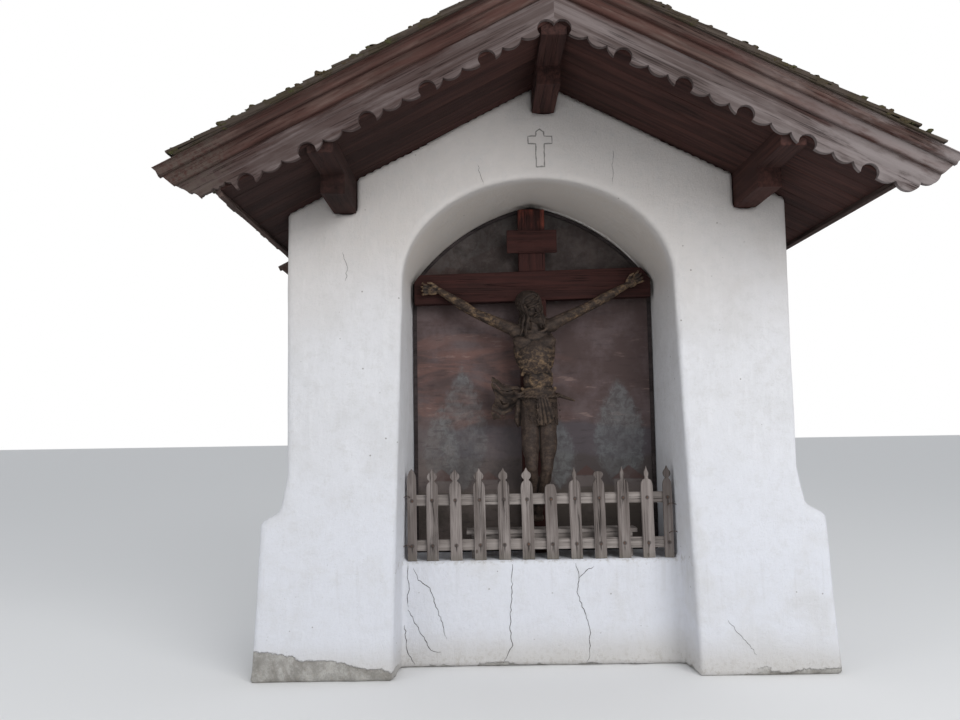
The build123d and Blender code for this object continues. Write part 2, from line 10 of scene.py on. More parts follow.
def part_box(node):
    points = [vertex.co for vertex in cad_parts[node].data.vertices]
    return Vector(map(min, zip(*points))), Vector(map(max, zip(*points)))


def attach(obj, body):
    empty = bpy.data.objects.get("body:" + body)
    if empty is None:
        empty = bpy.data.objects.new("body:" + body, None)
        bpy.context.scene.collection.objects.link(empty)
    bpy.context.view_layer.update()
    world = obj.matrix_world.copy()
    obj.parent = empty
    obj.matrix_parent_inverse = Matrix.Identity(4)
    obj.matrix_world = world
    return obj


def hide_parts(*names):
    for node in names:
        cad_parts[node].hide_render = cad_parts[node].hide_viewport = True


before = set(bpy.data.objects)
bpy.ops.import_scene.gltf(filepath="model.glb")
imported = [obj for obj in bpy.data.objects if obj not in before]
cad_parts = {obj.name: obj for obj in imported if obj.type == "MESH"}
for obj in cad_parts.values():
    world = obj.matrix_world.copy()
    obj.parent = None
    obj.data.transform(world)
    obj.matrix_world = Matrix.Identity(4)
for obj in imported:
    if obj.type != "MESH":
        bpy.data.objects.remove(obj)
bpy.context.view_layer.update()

# Masonry. One mass of rubble walling under lime plaster, whitewashed by brush year after
# year, so that its arrises are soft and its faces slightly wavy. The skin below is the
# blocks joined into one shell, eased and ruffled, with the limewash as its material.
masonry_blocks = [
    "left_plinth", "right_plinth", "left_pier", "right_pier",
    "niche_base", "back_wall", "arch_wall", "rear_gable",
]
plaster_cell = 0.0225
plaster_wave = 0.0045
plaster_ripple = 0.0016
plaster_fit = 0.9
loose_foot = 0.018
loose_height = 0.16
limewash_colour = (0.655, 0.655, 0.675)
limewash_shade = (0.54, 0.54, 0.545)
lime_white = (0.75, 0.75, 0.77)
grime_and_shade_colour = (0.36, 0.33, 0.29)
cement_colour = (0.3, 0.29, 0.27)
front_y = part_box("left_pier")[0][1]
masonry_x = (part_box("left_plinth")[0][0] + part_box("right_plinth")[1][0]) / 2


class Field:
    """A value that varies over a surface: one socket of a material's nodes."""

    def __init__(self, paint, socket):
        self.paint = paint
        self.socket = socket

    def math(self, operation, *others):
        inputs = dict(enumerate((self, *others)))
        return self.paint.node("ShaderNodeMath", {"operation": operation}, inputs)

    def __add__(self, other):
        return self.math("ADD", other)

    def __mul__(self, other):
        return self.math("MULTIPLY", other)

    def __sub__(self, other):
        return self.math("SUBTRACT", other)

    def __rsub__(self, other):
        return (self * -1.0).math("ADD", other)

    def __truediv__(self, other):
        return self.math("DIVIDE", other)

    __radd__ = __add__
    __rmul__ = __mul__

    def size(self):
        return self.math("ABSOLUTE")

    def clamped(self):
        return self.math("MAXIMUM", 0.0).math("MINIMUM", 1.0)

    def rise(self, low, high):
        """0 below low, 1 above high and a soft step between; falls where low is above high."""
        inputs = {0: self, 1: low, 2: high, 3: 0.0, 4: 1.0}
        if low > high:
            inputs = {0: self, 1: high, 2: low, 3: 1.0, 4: 0.0}
        return self.paint.node("ShaderNodeMapRange", {"interpolation_type": "SMOOTHSTEP"}, inputs)


class Nodes:
    """The nodes of a material or of the world."""

    def __init__(self, tree):
        self.nodes = tree.nodes
        self.links = tree.links

    def node(self, kind, settings=None, inputs=None, output=0):
        made = self.nodes.new(kind)
        for key, value in (settings or {}).items():
            setattr(made, key, value)
        for key, value in (inputs or {}).items():
            if isinstance(value, Field):
                self.links.new(value.socket, made.inputs[key])
            else:
                made.inputs[key].default_value = value
        return Field(self, made.outputs[output])


class Paint(Nodes):
    """A material under construction."""

    def __init__(self, name, roughness=0.85, specular=0.25):
        self.material = bpy.data.materials.new(name)
        self.material.use_nodes = True
        super().__init__(self.material.node_tree)
        self.shader = self.nodes["Principled BSDF"]
        self.shader.inputs["Roughness"].default_value = roughness
        self.shader.inputs["Specular IOR Level"].default_value = specular

    def place(self):
        """Where a point of the surface lies, in metres."""
        return self.node("ShaderNodeTexCoord", output=3)

    def attribute(self, name, output=1):
        return self.node("ShaderNodeAttribute", {"attribute_name": name}, output=output)

    def axes(self):
        """Where a point of the surface lies, as x, y and z."""
        split = self.node("ShaderNodeSeparateXYZ", inputs={0: self.place()})
        return [Field(self, part) for part in split.socket.node.outputs]

    def stretched(self, vector, scale, shift=(0, 0, 0)):
        return self.node("ShaderNodeMapping", inputs={0: vector, 1: shift, 3: scale})

    def noise(self, vector, scale=1.0, detail=4.0, roughness=0.55, distortion=0.0):
        """Soft noise, stretched where its scale is given as three numbers."""
        if isinstance(scale, tuple):
            vector = self.stretched(vector, scale)
            scale = 1.0
        inputs = {
            "Vector": vector, "Scale": scale, "Detail": detail,
            "Roughness": roughness, "Distortion": distortion,
        }
        return self.node("ShaderNodeTexNoise", inputs=inputs)

    def cells(self, vector, scale=1.0):
        """Distance from the middles of scattered cells."""
        return self.node("ShaderNodeTexVoronoi", inputs={"Vector": vector, "Scale": scale})

    def mix(self, factor, first, second):
        """A colour between two colours."""
        def colour(value):
            return value if isinstance(value, Field) else (*value, 1.0)

        inputs = {0: factor, 6: colour(first), 7: colour(second)}
        return self.node("ShaderNodeMix", {"data_type": "RGBA"}, inputs, output=2)

    def coats(self, colour, *layers):
        """A colour under coats, each given as how much of it covers and what its colour is."""
        for cover, coat in layers:
            colour = self.mix(cover, colour, coat)
        return colour

    def finish(self, colour, relief=None, depth=0.002):
        """Connects the colour and a height in units of depth, and gives the material."""
        self.links.new(colour.socket, self.shader.inputs["Base Color"])
        if relief is not None:
            inputs = {"Strength": 1.0, "Distance": depth, "Height": relief}
            bump = self.node("ShaderNodeBump", inputs=inputs)
            self.links.new(bump.socket, self.shader.inputs["Normal"])
        return self.material


def toned(share, colour):
    """A colour made darker or lighter."""
    return [share * channel for channel in colour]


def limewash(name):
    """Whitewash with brush marks, weather stains, bare cement patches, dirt at the foot, and painted shade
    and light.
    """
    paint = Paint(name, roughness=0.92, specular=0.15)
    place = paint.place()
    x, y, z = paint.axes()
    aside = (x - masonry_x).size()
    cloud = paint.noise(place, 1.1, detail=5.0, roughness=0.6)
    patch = paint.noise(place, 4.5, detail=6.0, roughness=0.65, distortion=0.4)
    brush = paint.noise(place, (30.0, 30.0, 5.0), detail=3.0)
    grit = paint.noise(place, 150.0, detail=3.0)
    pits = paint.noise(place, 38.0, detail=5.0, roughness=0.7)
    smear = paint.noise(place, (3.0, 3.0, 1.2), detail=6.0, roughness=0.7, distortion=0.8)
    mottle = paint.noise(place, 15.0, detail=9.0, roughness=0.85)
    streaks = paint.noise(place, (26.0, 26.0, 1.6), detail=5.0)
    dabs = paint.noise(place, (55.0, 55.0, 24.0), roughness=0.6)
    fleck = paint.cells(place, 11.0)
    worn = (cloud * 0.55 + patch * 0.45).rise(0.42, 0.66)
    # Painted shade darkens the wall under the roof and in the vault; painted light brightens the lower
    # walls.
    under_roof_shade = (z + (cloud - 0.5) * 0.8).rise(1.6, 2.8)
    vault = z.rise(2.1, 2.45) * y.rise(front_y + 0.03, front_y + 0.12) * y.rise(0.27, 0.23)
    lower = (z + (cloud - 0.5) * 0.6).rise(1.6, 0.6) * worn.rise(1.3, 0.2)
    mottled = mottle.rise(0.47, 0.64) * (z.rise(0.3, 1.8) * 0.2 + 0.2)
    flecks = (fleck + (mottle - 0.5) * 0.14).rise(0.07, 0.03) * patch.rise(0.44, 0.56)
    foot = (z + patch * 0.16 - 0.08).rise(0.26, 0.02)
    sill = z.rise(0.25, 0.6) * z.rise(0.66, 0.6) * streaks.rise(0.52, 0.7)
    ragged = z + (patch - 0.5) * 0.16
    left_bare = (ragged + x * 0.14 + 0.065).rise(0.006, -0.006) * x.rise(-0.86, -0.93)
    right_bare = (ragged - 0.03).rise(0.006, -0.006) * x.rise(1.05, 1.2)
    foot_bare = (ragged - 0.004).rise(0.006, -0.006)
    bare = (left_bare + right_bare + foot_bare).clamped() * y.rise(0.6, 0.2)
    cement = paint.coats(
        cement_colour,
        (mottle.rise(0.4, 0.62), (0.47, 0.455, 0.43)),
        (patch.rise(0.4, 0.62) * 0.7, (0.17, 0.155, 0.135)),
    )
    # Painted shade, with grime, in the inside corners where the parapet meets the jambs.
    corner = (aside - 0.835).size().rise(0.035, 0.005) * z.rise(0.66, 0.58)
    corner = corner * pits.rise(0.62, 0.7) * patch.rise(0.45, 0.6)
    edge = z.rise(0.575, 0.605) * z.rise(0.66, 0.62) * pits.rise(0.48, 0.62) * y.rise(0.2, 0.1)
    splash = (z + pits * 0.3).rise(0.34, 0.1) * pits.rise(0.52, 0.62)
    colour = paint.coats(
        limewash_colour,
        (worn * 0.45, limewash_shade),
        (brush.rise(0.5, 0.75) * 0.28, lime_white),
        (under_roof_shade * 0.72, (0.56, 0.512, 0.47)),
        (vault * aside.rise(0.9, 0.84) * 0.62, (0.5, 0.445, 0.39)),
        (lower * 0.8, (0.672, 0.686, 0.736)),
        (smear.rise(0.56, 0.7) * 0.12, (0.5, 0.485, 0.465)),
        (pits.rise(0.68, 0.74) * 0.6, grime_and_shade_colour),
        (mottled, (0.515, 0.505, 0.495)),
        (flecks * 0.75, (0.2, 0.18, 0.16)),
        (foot * 0.7, (0.5, 0.475, 0.44)),
        (sill * 0.12, grime_and_shade_colour),
        (bare, cement),
        (corner * 0.7, grime_and_shade_colour),
        (edge * aside.rise(0.86, 0.82) * 0.45, grime_and_shade_colour),
        (splash * 0.75, grime_and_shade_colour),
    )
    relief = brush * 0.3 + dabs * 0.35 + mottle * 1.1 + grit * 0.16 + pits * 0.45 + patch * 0.9
    return paint.finish(colour, relief - bare * 1.2, depth=0.006)


def placed(name, data):
    """A new object in the scene."""
    made = bpy.data.objects.new(name, data)
    bpy.context.collection.objects.link(made)
    return made


def painted(mesh, material):
    """Gives a mesh one material in place of any that it has."""
    mesh.materials.clear()
    mesh.materials.append(material)


def keep_piece(name, mesh, material, replaced=(), smooth=False):
    """Puts a finished mesh in the scene as a piece of the chapel."""
    made = placed(name, mesh)
    painted(mesh, material)
    mesh.polygons.foreach_set("use_smooth", [smooth] * len(mesh.polygons))
    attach(made, "root")
    if replaced:
        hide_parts(*replaced)


def mesh_of(shape, name):
    """The mesh of a closed bmesh, with its faces turned outwards."""
    bmesh.ops.recalc_face_normals(shape, faces=shape.faces)
    mesh = bpy.data.meshes.new(name)
    shape.to_mesh(mesh)
    shape.free()
    return mesh


def keep_shape(name, shape, material, replaced=(), smooth=False):
    """Puts a closed bmesh in the scene as a piece of the chapel."""
    keep_piece(name, mesh_of(shape, name), material, replaced, smooth)


def one_skin(mesh, cell, smoothing):
    """A mesh of overlapping shells made into one smooth skin of even cells."""
    lump = placed(mesh.name, mesh)
    remesh = lump.modifiers.new("skin", "REMESH")
    remesh.mode = "VOXEL"
    remesh.voxel_size = cell
    ease = lump.modifiers.new("ease", "SMOOTH")
    ease.factor = 0.5
    ease.iterations = smoothing
    graph = bpy.context.evaluated_depsgraph_get()
    skin = bpy.data.meshes.new_from_object(lump.evaluated_get(graph))
    skin.name = mesh.name
    bpy.data.objects.remove(lump)
    return skin


blocks = bmesh.new()
for name in masonry_blocks:
    blocks.from_mesh(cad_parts[name].data)
bmesh.ops.remove_doubles(blocks, verts=blocks.verts, dist=0.00002)
rubble = bpy.data.meshes.new("masonry_skin")
blocks.to_mesh(rubble)
rubble_surface = BVHTree.FromBMesh(blocks)
blocks.free()
plaster = one_skin(rubble, plaster_cell, 1)
skin = bmesh.new()
skin.from_mesh(plaster)
for vertex in skin.verts:
    vertex.co = vertex.co.lerp(rubble_surface.find_nearest(vertex.co)[0], plaster_fit)
skin.normal_update()
for vertex in skin.verts:
    spot = vertex.co.copy()
    wave = plaster_wave * noise.noise(spot * 1.9) + plaster_ripple * noise.noise(spot * 7.0)
    loose = loose_foot * max(0.0, noise.noise(spot * 5.0)) * max(0.0, 1.0 - spot.z / loose_height)
    vertex.co = spot + vertex.normal * (wave + loose)
    vertex.co.z = max(vertex.co.z, 0.0)
skin.to_mesh(plaster)
plaster_surface = BVHTree.FromBMesh(skin)
skin.free()
whitewash = limewash("whitewash")
keep_piece("masonry_skin", plaster, whitewash, masonry_blocks, smooth=True)


# Cracks and scratched cross. Fine settlement cracks run down the parapet and the walls, and
# a small cross is scratched into the plaster over the arch. Each is a thin dark line.
dice = Random(11)
line_proud = 0.0008
line_thickness = 0.0007
line_step = 0.016
parapet_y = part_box("niche_base")[0][1]
parapet_cracks = (
    ((-0.808, 0.575), (-0.785, 0.534), (-0.779, 0.505), (-0.709, 0.458), (-0.646, 0.272), (-0.612, 0.157)),
    ((-0.84, 0.333), (-0.741, 0.159), (-0.707, 0.101), (-0.648, 0.089)),
    ((-0.86, 0.247), (-0.847, 0.104), (-0.801, 0.017)),
    ((-0.223, 0.598), (-0.226, 0.439), (-0.242, 0.209), (-0.226, 0.123), (-0.29, 0.008)),
    (
        (0.155, 0.59), (0.171, 0.502), (0.157, 0.421), (0.207, 0.288), (0.228, 0.202), (0.224, 0.059),
        (0.195, 0.006),
    ),
    ((0.171, 0.502), (0.215, 0.545), (0.261, 0.57)),
    ((-0.838, 0.592), (-0.842, 0.52), (-0.832, 0.47), (-0.843, 0.4), (-0.836, 0.35)),
)
wall_cracks = (
    ((-0.387, 2.926), (-0.372, 2.86), (-0.359, 2.806)),
    ((0.405, 3.003), (0.398, 2.9), (0.393, 2.794)),
    ((0.968, 0.305), (1.05, 0.2), (1.122, 0.112)),
    ((-1.18, 2.42), (-1.15, 2.33), (-1.165, 2.25)),
)
scratched_cross = (
    (-0.046, 2.909), (-0.047, 3.047), (-0.091, 3.05), (-0.092, 3.093), (-0.047, 3.095), (-0.045, 3.12),
    (-0.022, 3.136), (0.001, 3.119), (0.003, 3.094), (0.048, 3.092), (0.049, 3.049), (0.003, 3.047),
    (0.002, 2.911), (-0.046, 2.909),
)


def all_of(shape):
    return shape.verts[:] + shape.edges[:] + shape.faces[:]


def add_line(gather, points, near_y, half_width, wander, taper=True):
    """Lays a thin strip along points on the front of the plaster."""
    path = []
    for (x0, z0), (x1, z1) in zip(points, points[1:]):
        run = Vector((x1 - x0, z1 - z0))
        across = Vector((-run.y, run.x)).normalized()
        steps = max(2, int(run.length / line_step))
        for step in range(steps):
            jitter = wander * dice.uniform(-1.0, 1.0) if step else 0.0
            path.append(Vector((x0, z0)) + run * (step / steps) + across * jitter)
    path.append(Vector(points[-1]))
    part = bmesh.new()
    bmesh.ops.create_grid(part, x_segments=len(path) - 1, y_segments=1, size=1.0)
    columns = sorted(part.verts, key=lambda vertex: (round(vertex.co.x, 5), vertex.co.y))
    for number, centre in enumerate(path):
        before = path[max(number - 1, 0)]
        after = path[min(number + 1, len(path) - 1)]
        across = Vector((before.y - after.y, after.x - before.x)).normalized()
        share = number / (len(path) - 1)
        width = half_width * dice.uniform(0.6, 1.25)
        if taper:
            width *= min(1.0, 0.15 + 5.0 * (1.0 - share)) * min(1.0, 0.4 + 8.0 * share)
        for end, vertex in zip((-1, 1), columns[2 * number:2 * number + 2]):
            spot = centre + across * (end * width)
            start = Vector((spot.x, near_y - 0.2, spot.y))
            hit = plaster_surface.ray_cast(start, Vector((0, 1, 0)))[0]
            vertex.co = (spot.x, (hit.y if hit else near_y) - line_proud, spot.y)
    bmesh.ops.solidify(part, geom=all_of(part), thickness=line_thickness)
    join(gather, part)


def join(gather, part):
    """Adds a finished part to a larger shape."""
    bmesh.ops.recalc_face_normals(part, faces=part.faces)
    single = bpy.data.meshes.new("part")
    part.to_mesh(single)
    part.free()
    gather.from_mesh(single)
    bpy.data.meshes.remove(single)


def plain(name, colour):
    """A dull material of one colour with a little mottling."""
    paint = Paint(name, roughness=0.95, specular=0.1)
    fleck = paint.noise(paint.place(), 60.0)
    return paint.finish(paint.mix(fleck.rise(0.35, 0.65), colour, toned(0.7, colour)))


cracks = bmesh.new()
for points in parapet_cracks:
    add_line(cracks, points, parapet_y, 0.0016, 0.0048)
for points in wall_cracks:
    add_line(cracks, points, front_y, 0.0008, 0.006)
crack_shade = plain("crack_shade", (0.06, 0.054, 0.048))
keep_shape("plaster_cracks", cracks, crack_shade)
scratches = bmesh.new()
add_line(scratches, scratched_cross, front_y, 0.004, 0.0016, taper=False)
# The grey line of the scratched cross is painted shadow in its groove.
scratch_groove_shadow = plain("scratch_groove_shadow", (0.29, 0.275, 0.26))
keep_shape("scratched_cross", scratches, scratch_groove_shadow)


# Purlins. Three squared larch beams that run through the gable and carry the roof, with
# stepped heads, stained dark red-brown like the boards over them, darker as painted shade.
arris = 0.004


def wood(name, light, dark, line, grain_from=None, worn=None, depth=0.0016, checks=0.6, fibres=0.4):
    """Wood whose grain runs along x of the grain attribute, with late rings, checks and tone."""
    paint = Paint(name, roughness=0.8, specular=0.12)
    grain = grain_from(paint) if grain_from else paint.attribute("grain")
    tone = paint.attribute("tone", output=2)
    rings = paint.noise(grain, (1.3, 34.0, 34.0), detail=5.0, roughness=0.6, distortion=0.5)
    fibre = paint.noise(grain, (7.0, 330.0, 330.0), detail=3.0)
    stain = paint.noise(grain, (2.2, 9.0, 9.0), detail=5.0, roughness=0.65)
    split = paint.noise(paint.stretched(grain, (0.9, 62.0, 62.0), (3.0, 5.0, 7.0)), detail=2.0)
    check = (split - 0.5).size().rise(0.02, 0.004) * stain.rise(0.42, 0.6) * checks
    colour = paint.coats(
        light,
        (rings.rise(0.34, 0.64), dark),
        (stain.rise(0.45, 0.75) * 0.6, line),
        (fibre.rise(0.45, 0.7) * fibres, dark),
        (check, toned(0.35, line)),
        ((tone - 0.5).clamped() * 0.5, toned(1.35, light)),
        ((0.5 - tone).clamped() * 0.7, toned(0.8, dark)),
    )
    if worn is not None:
        colour = worn(paint, grain, colour, stain)
    relief = rings * 0.7 + fibre * 0.35 - check * 2.2
    return paint.finish(colour, relief, depth=depth)


def with_grain(shape, place, tone=None):
    """Writes each vertex's place along and across the grain, and a tone for the whole piece."""
    grain = shape.verts.layers.float_vector.new("grain")
    shade = shape.verts.layers.float.new("tone")
    start = Vector((dice.uniform(0, 9), dice.uniform(0, 9), dice.uniform(0, 9)))
    tone = dice.random() if tone is None else tone
    inverse = place.inverted()
    for vertex in shape.verts:
        vertex[grain] = inverse @ vertex.co + start
        vertex[shade] = tone


def ease_edges(shape, width, edges=None, segments=2):
    """Rounds some edges a little, or every sharp one."""
    if edges is None:
        pairs = [e for e in shape.edges if len(e.link_faces) == 2]
        edges = [e for e in pairs if e.calc_face_angle(0) > radians(25)]
    bmesh.ops.bevel(
        shape, geom=edges, offset=width, offset_type="OFFSET", segments=segments,
        profile=0.5, affect="EDGES", material=-1, clamp_overlap=True,
    )


def node_shape(node):
    """A CAD node's shape with its triangles merged into plain faces."""
    shape = bmesh.new()
    shape.from_mesh(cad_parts[node].data)
    bmesh.ops.remove_doubles(shape, verts=shape.verts, dist=0.00001)
    bmesh.ops.dissolve_limit(shape, angle_limit=radians(0.5), verts=shape.verts, edges=shape.edges)
    return shape


def timber(node, place, material, width=arris, tone=None):
    """A CAD timber with eased edges and its own grain."""
    shape = node_shape(node)
    ease_edges(shape, width)
    with_grain(shape, place, tone)
    keep_shape(node + "_timber", shape, material, [node])


def turned(angle, axis):
    """A turn about an axis by an angle in degrees."""
    return Matrix.Rotation(radians(angle), 4, axis)


along_y = turned(90, "Z")


def left_slope_shade(paint, grain, colour, stain):
    """Painted shade down the left slope, darker towards its eave."""
    return paint.mix(paint.axes()[0].rise(0.1, -1.5) * 0.52, colour, (0.014, 0.009, 0.008))


# Painted shade: these stain colours are set darker than the wood, as it lies in shade under the roof.
stained = wood(
    "stained_wood", (0.064, 0.028, 0.023), (0.032, 0.015, 0.013), (0.02, 0.012, 0.011),
    checks=0.8, worn=left_slope_shade,
)
for node in ("ridge_purlin", "left_purlin", "right_purlin"):
    timber(node, along_y, stained, tone=0.4)


# Roof boards. Planed boards of uneven width laid side by side down each slope on the
# purlins, seen from below, stained dark red-brown, darker as painted shade, with open joints.
slopes = (("left", -1), ("right", 1))
pitch = radians(27)
ridge_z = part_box("ridge_purlin")[1][2]
board_gap = 0.003
board_widths = (0.13, 0.19)
narrowest_board = 0.05
deck_front, deck_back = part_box("left_soffit_boards")[0][1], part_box("left_soffit_boards")[1][1]
deck_thickness = 0.025
deck_length = (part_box("right_soffit_boards")[1][0] - deck_thickness * sin(pitch)) / cos(pitch)


def slope_frame(side):
    """x down the slope, y along the ridge and z square to the slope, from the ridge line."""
    return Matrix((
        (side * cos(pitch), 0, side * sin(pitch), 0),
        (0, 1, 0, 0),
        (-sin(pitch), 0, cos(pitch), ridge_z),
        (0, 0, 0, 1),
    ))


def add_board(gather, low, high, place=Matrix.Identity(4), width=0.002, turn=Matrix.Identity(4)):
    """Adds a board between two corners, given in the frame of place, with eased edges."""
    size = [b - a for a, b in zip(low, high)]
    middle = Vector([(a + b) / 2 for a, b in zip(low, high)])
    part = bmesh.new()
    bmesh.ops.create_cube(part, size=1.0, matrix=Matrix.Diagonal((*size, 1.0)))
    ease_edges(part, width, part.edges[:], segments=1)
    with_grain(part, Matrix.Identity(4))
    bmesh.ops.transform(part, matrix=place @ Matrix.Translation(middle) @ turn, verts=part.verts)
    join(gather, part)


for label, side in slopes:
    gather = bmesh.new()
    y = deck_front
    while y < deck_back - 0.001:
        width = min(dice.uniform(*board_widths), deck_back - y)
        if deck_back - y - width < narrowest_board:
            width = deck_back - y
        sag = dice.uniform(0.0, 0.0015)
        low = (0.0, y, sag)
        high = (deck_length, y + width - board_gap, deck_thickness)
        add_board(gather, low, high, slope_frame(side))
        y += width
    keep_shape(label + "_ceiling", gather, stained, [label + "_soffit_boards"])


# Rafters and eave boards. The pack between the ceiling and the shingles shows only as
# the upright boards along the eaves, grey and rough, darker where water runs down.
weather_light = (0.105, 0.072, 0.062)
weather_dark = (0.055, 0.037, 0.032)
weather_line = (0.032, 0.022, 0.019)
rough = wood("rough_timber", weather_light, weather_dark, weather_line, grain_from=Paint.place)
weathered = wood("weathered_wood", weather_light, weather_dark, weather_line, checks=0.9)
for label, side in slopes:
    painted(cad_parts[label + "_rafters"].data, rough)
    timber(label + "_eave_board", along_y, weathered, width=0.003)


# Shingles. Split larch shingles in three laps, grey-brown, uneven and mossy, with two
# boards along the ridge. Moss sits in cushions on the butts and over the verges.
shingle_low = 0.225
shingle_top = 0.262
covering_top = 0.265
shingle_reach = (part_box("right_shingles")[1][0] - covering_top * sin(pitch)) / cos(pitch)
verge_front, verge_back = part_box("right_shingles")[0][1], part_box("right_shingles")[1][1]
course = 0.148
shingle_length = 0.4
shingle_lean = asin(0.6 * (shingle_top - shingle_low) / shingle_length)
moss_dark = (0.029, 0.029, 0.014)
moss_light = (0.074, 0.07, 0.032)


def mossy(paint, grain, colour, stain):
    """Moss in patches, and dirt with painted shade along the verges."""
    patch = paint.noise(paint.place(), 7.0, detail=6.0, roughness=0.7)
    fuzz = paint.noise(paint.place(), 160.0, detail=2.0)
    moss = paint.mix(fuzz.rise(0.35, 0.65), moss_dark, moss_light)
    # Along the verges: brown dirt, darkened there also as painted shade.
    verge = paint.axes()[1].size().rise(verge_back - 0.05, verge_back - 0.01)
    return paint.coats(
        colour, (patch.rise(0.5, 0.58) * 0.9, moss), (verge * 0.75, (0.04, 0.028, 0.021)),
    )


def within_verges(verts, margin):
    """Keeps points inside the verges of the roof."""
    for vertex in verts:
        vertex.co.y = min(max(vertex.co.y, verge_front + margin), verge_back - margin)


shingle_wood = wood(
    "shingle_wood", (0.15, 0.13, 0.112), (0.08, 0.067, 0.057), (0.042, 0.034, 0.028),
    worn=mossy, depth=0.003,
)
moss_paint = Paint("moss", roughness=1.0, specular=0.1)
moss_fuzz = moss_paint.noise(moss_paint.place(), 230.0, detail=3.0)
moss_patch = moss_paint.noise(moss_paint.place(), 9.0)
moss_colour = moss_paint.coats(
    moss_dark,
    (moss_fuzz.rise(0.3, 0.7), moss_light),
    (moss_patch.rise(0.38, 0.58) * 0.8, (0.06, 0.04, 0.026)),
)
moss = moss_paint.finish(moss_colour, moss_fuzz, depth=0.006)
moss_spots = []
for label, side in slopes:
    gather = bmesh.new()
    rows = int((shingle_reach + 0.1) / course) + 1
    for row in range(rows):
        butt = shingle_reach - row * course
        y = verge_front - dice.uniform(0.0, 0.08)
        while y < verge_back:
            width = dice.uniform(0.075, 0.15)
            low_y = max(y, verge_front)
            high_y = min(y + width - 0.003, verge_back)
            y += width
            if high_y - low_y < 0.03:
                continue
            end = butt - dice.uniform(0.0, 0.014)
            thickness = dice.uniform(0.01, 0.014)
            length = min(shingle_length, end + 0.12)
            if length < 0.08:
                continue
            skew = Matrix.Rotation(dice.uniform(-0.012, 0.012), 4, "Z")
            high = shingle_top - dice.uniform(0.0, 0.004)
            drop = length / 2 * sin(shingle_lean)
            low = (end - length, low_y, high - thickness - drop)
            top = (end, high_y, high - drop)
            slant = Matrix.Rotation(-shingle_lean, 4, "Y")
            add_board(gather, low, top, slope_frame(side), width=0.0015, turn=slant @ skew)
            if dice.random() < 0.3:
                spot = Vector((end - dice.uniform(0.0, 0.03), (low_y + high_y) / 2, high - 0.004))
                moss_spots.append(slope_frame(side) @ spot)
    low = (0.0, verge_front + 0.004, shingle_low)
    high = (shingle_reach - 0.03, verge_back - 0.004, shingle_low + 0.012)
    add_board(gather, low, high, slope_frame(side))
    within_verges(gather.verts, 0.0005)
    keep_shape(label + "_shingle_courses", gather, shingle_wood, [label + "_shingles"])
    for number in range(46):
        for verge in (verge_front + 0.012, verge_back - 0.012):
            down = dice.uniform(0.1, shingle_reach)
            spot = Vector((down, verge, shingle_low + dice.uniform(0.014, 0.032)))
            moss_spots.append(slope_frame(side) @ spot)

timber("ridge_boards", along_y, shingle_wood, tone=0.5)

cushions = bmesh.new()
for spot in moss_spots:
    radius = dice.uniform(0.01, 0.024)
    flat = Matrix.Diagonal((dice.uniform(0.9, 1.6), dice.uniform(0.8, 1.5), 0.55, 1.0))
    made = bmesh.ops.create_icosphere(
        cushions, subdivisions=2, radius=radius, matrix=Matrix.Translation(spot) @ flat,
    )
    for vertex in made["verts"]:
        away = vertex.co - spot
        vertex.co = spot + away * (1.0 + 0.5 * noise.noise(vertex.co * 60.0))
    within_verges(made["verts"], 0.001)
keep_shape("moss_cushions", cushions, moss, smooth=True)


# Bargeboards. Sawn larch boards with a scalloped lower edge of lobes, teeth and round
# cutouts, once painted red-brown and now bare but for remains under the mouldings.
red_remains = (0.062, 0.024, 0.019)
barge_light = (0.158, 0.13, 0.126)
barge_dark = (0.074, 0.055, 0.051)
barge_line = (0.04, 0.027, 0.024)
barge_pale = (0.245, 0.218, 0.215)
rot_start = 1.78
rot_through = 1.95


def worn_paint(low, high, amount):
    """Remains of red paint in a band across the grain, lighter to the right, painted shade to the left, and
    rot.
    """
    def worn(paint, grain, colour, stain):
        across = paint.attribute("band", output=2)
        flake = paint.noise(grain, (3.0, 26.0, 26.0), detail=6.0, roughness=0.7)
        crumbs = paint.noise(paint.place(), 34.0, detail=7.0, roughness=0.75)
        x = paint.axes()[0]
        left = (across + (flake - 0.5) * 0.06).rise(low, high) * flake.rise(0.4, 0.6)
        # Lighter towards the right; towards the left, painted shade over remains of red-brown paint.
        lighter_right = x.rise(0.5, 2.0) * stain.rise(0.6, 0.4)
        left_shade_over_paint = x.rise(0.4, -1.0) * stain.rise(0.3, 0.54)
        rotten = x.rise(-1.5, -1.72) * crumbs.rise(0.38, 0.58)
        return paint.coats(
            colour,
            (left * amount, red_remains),
            (lighter_right * 0.65, barge_pale),
            (left_shade_over_paint * amount * 0.75, (0.036, 0.016, 0.013)),
            (rotten * 0.8, (0.08, 0.062, 0.052)),
        )

    return worn


def with_band(shape, side):
    """Writes how far each vertex lies above the ceiling boards."""
    band = shape.verts.layers.float.new("band")
    inverse = slope_frame(side).inverted()
    for vertex in shape.verts:
        vertex[band] = (inverse @ vertex.co).z


def slope_grain_frame(side):
    """Grain along the slope, with its second axis square to the slope."""
    return slope_frame(side) @ turned(90, "X")


def rot_away(shape, side):
    """Eats away the carved lobes of the low end of a bargeboard, leaving a ragged edge."""
    place = slope_frame(side)
    inverse = place.inverted()
    for vertex in shape.verts:
        local = inverse @ vertex.co
        if local.x < rot_start:
            continue
        crumble = 0.016 * noise.noise(Vector((local.x * 45.0, 0.0, 0.0)))
        crumble += 0.006 * noise.noise(Vector((local.x * 130.0, 3.0, 0.0)))
        ragged = 0.01 + crumble + max(0.0, local.x - rot_through) * 1.3
        local.z = max(local.z, ragged)
        vertex.co = place @ local


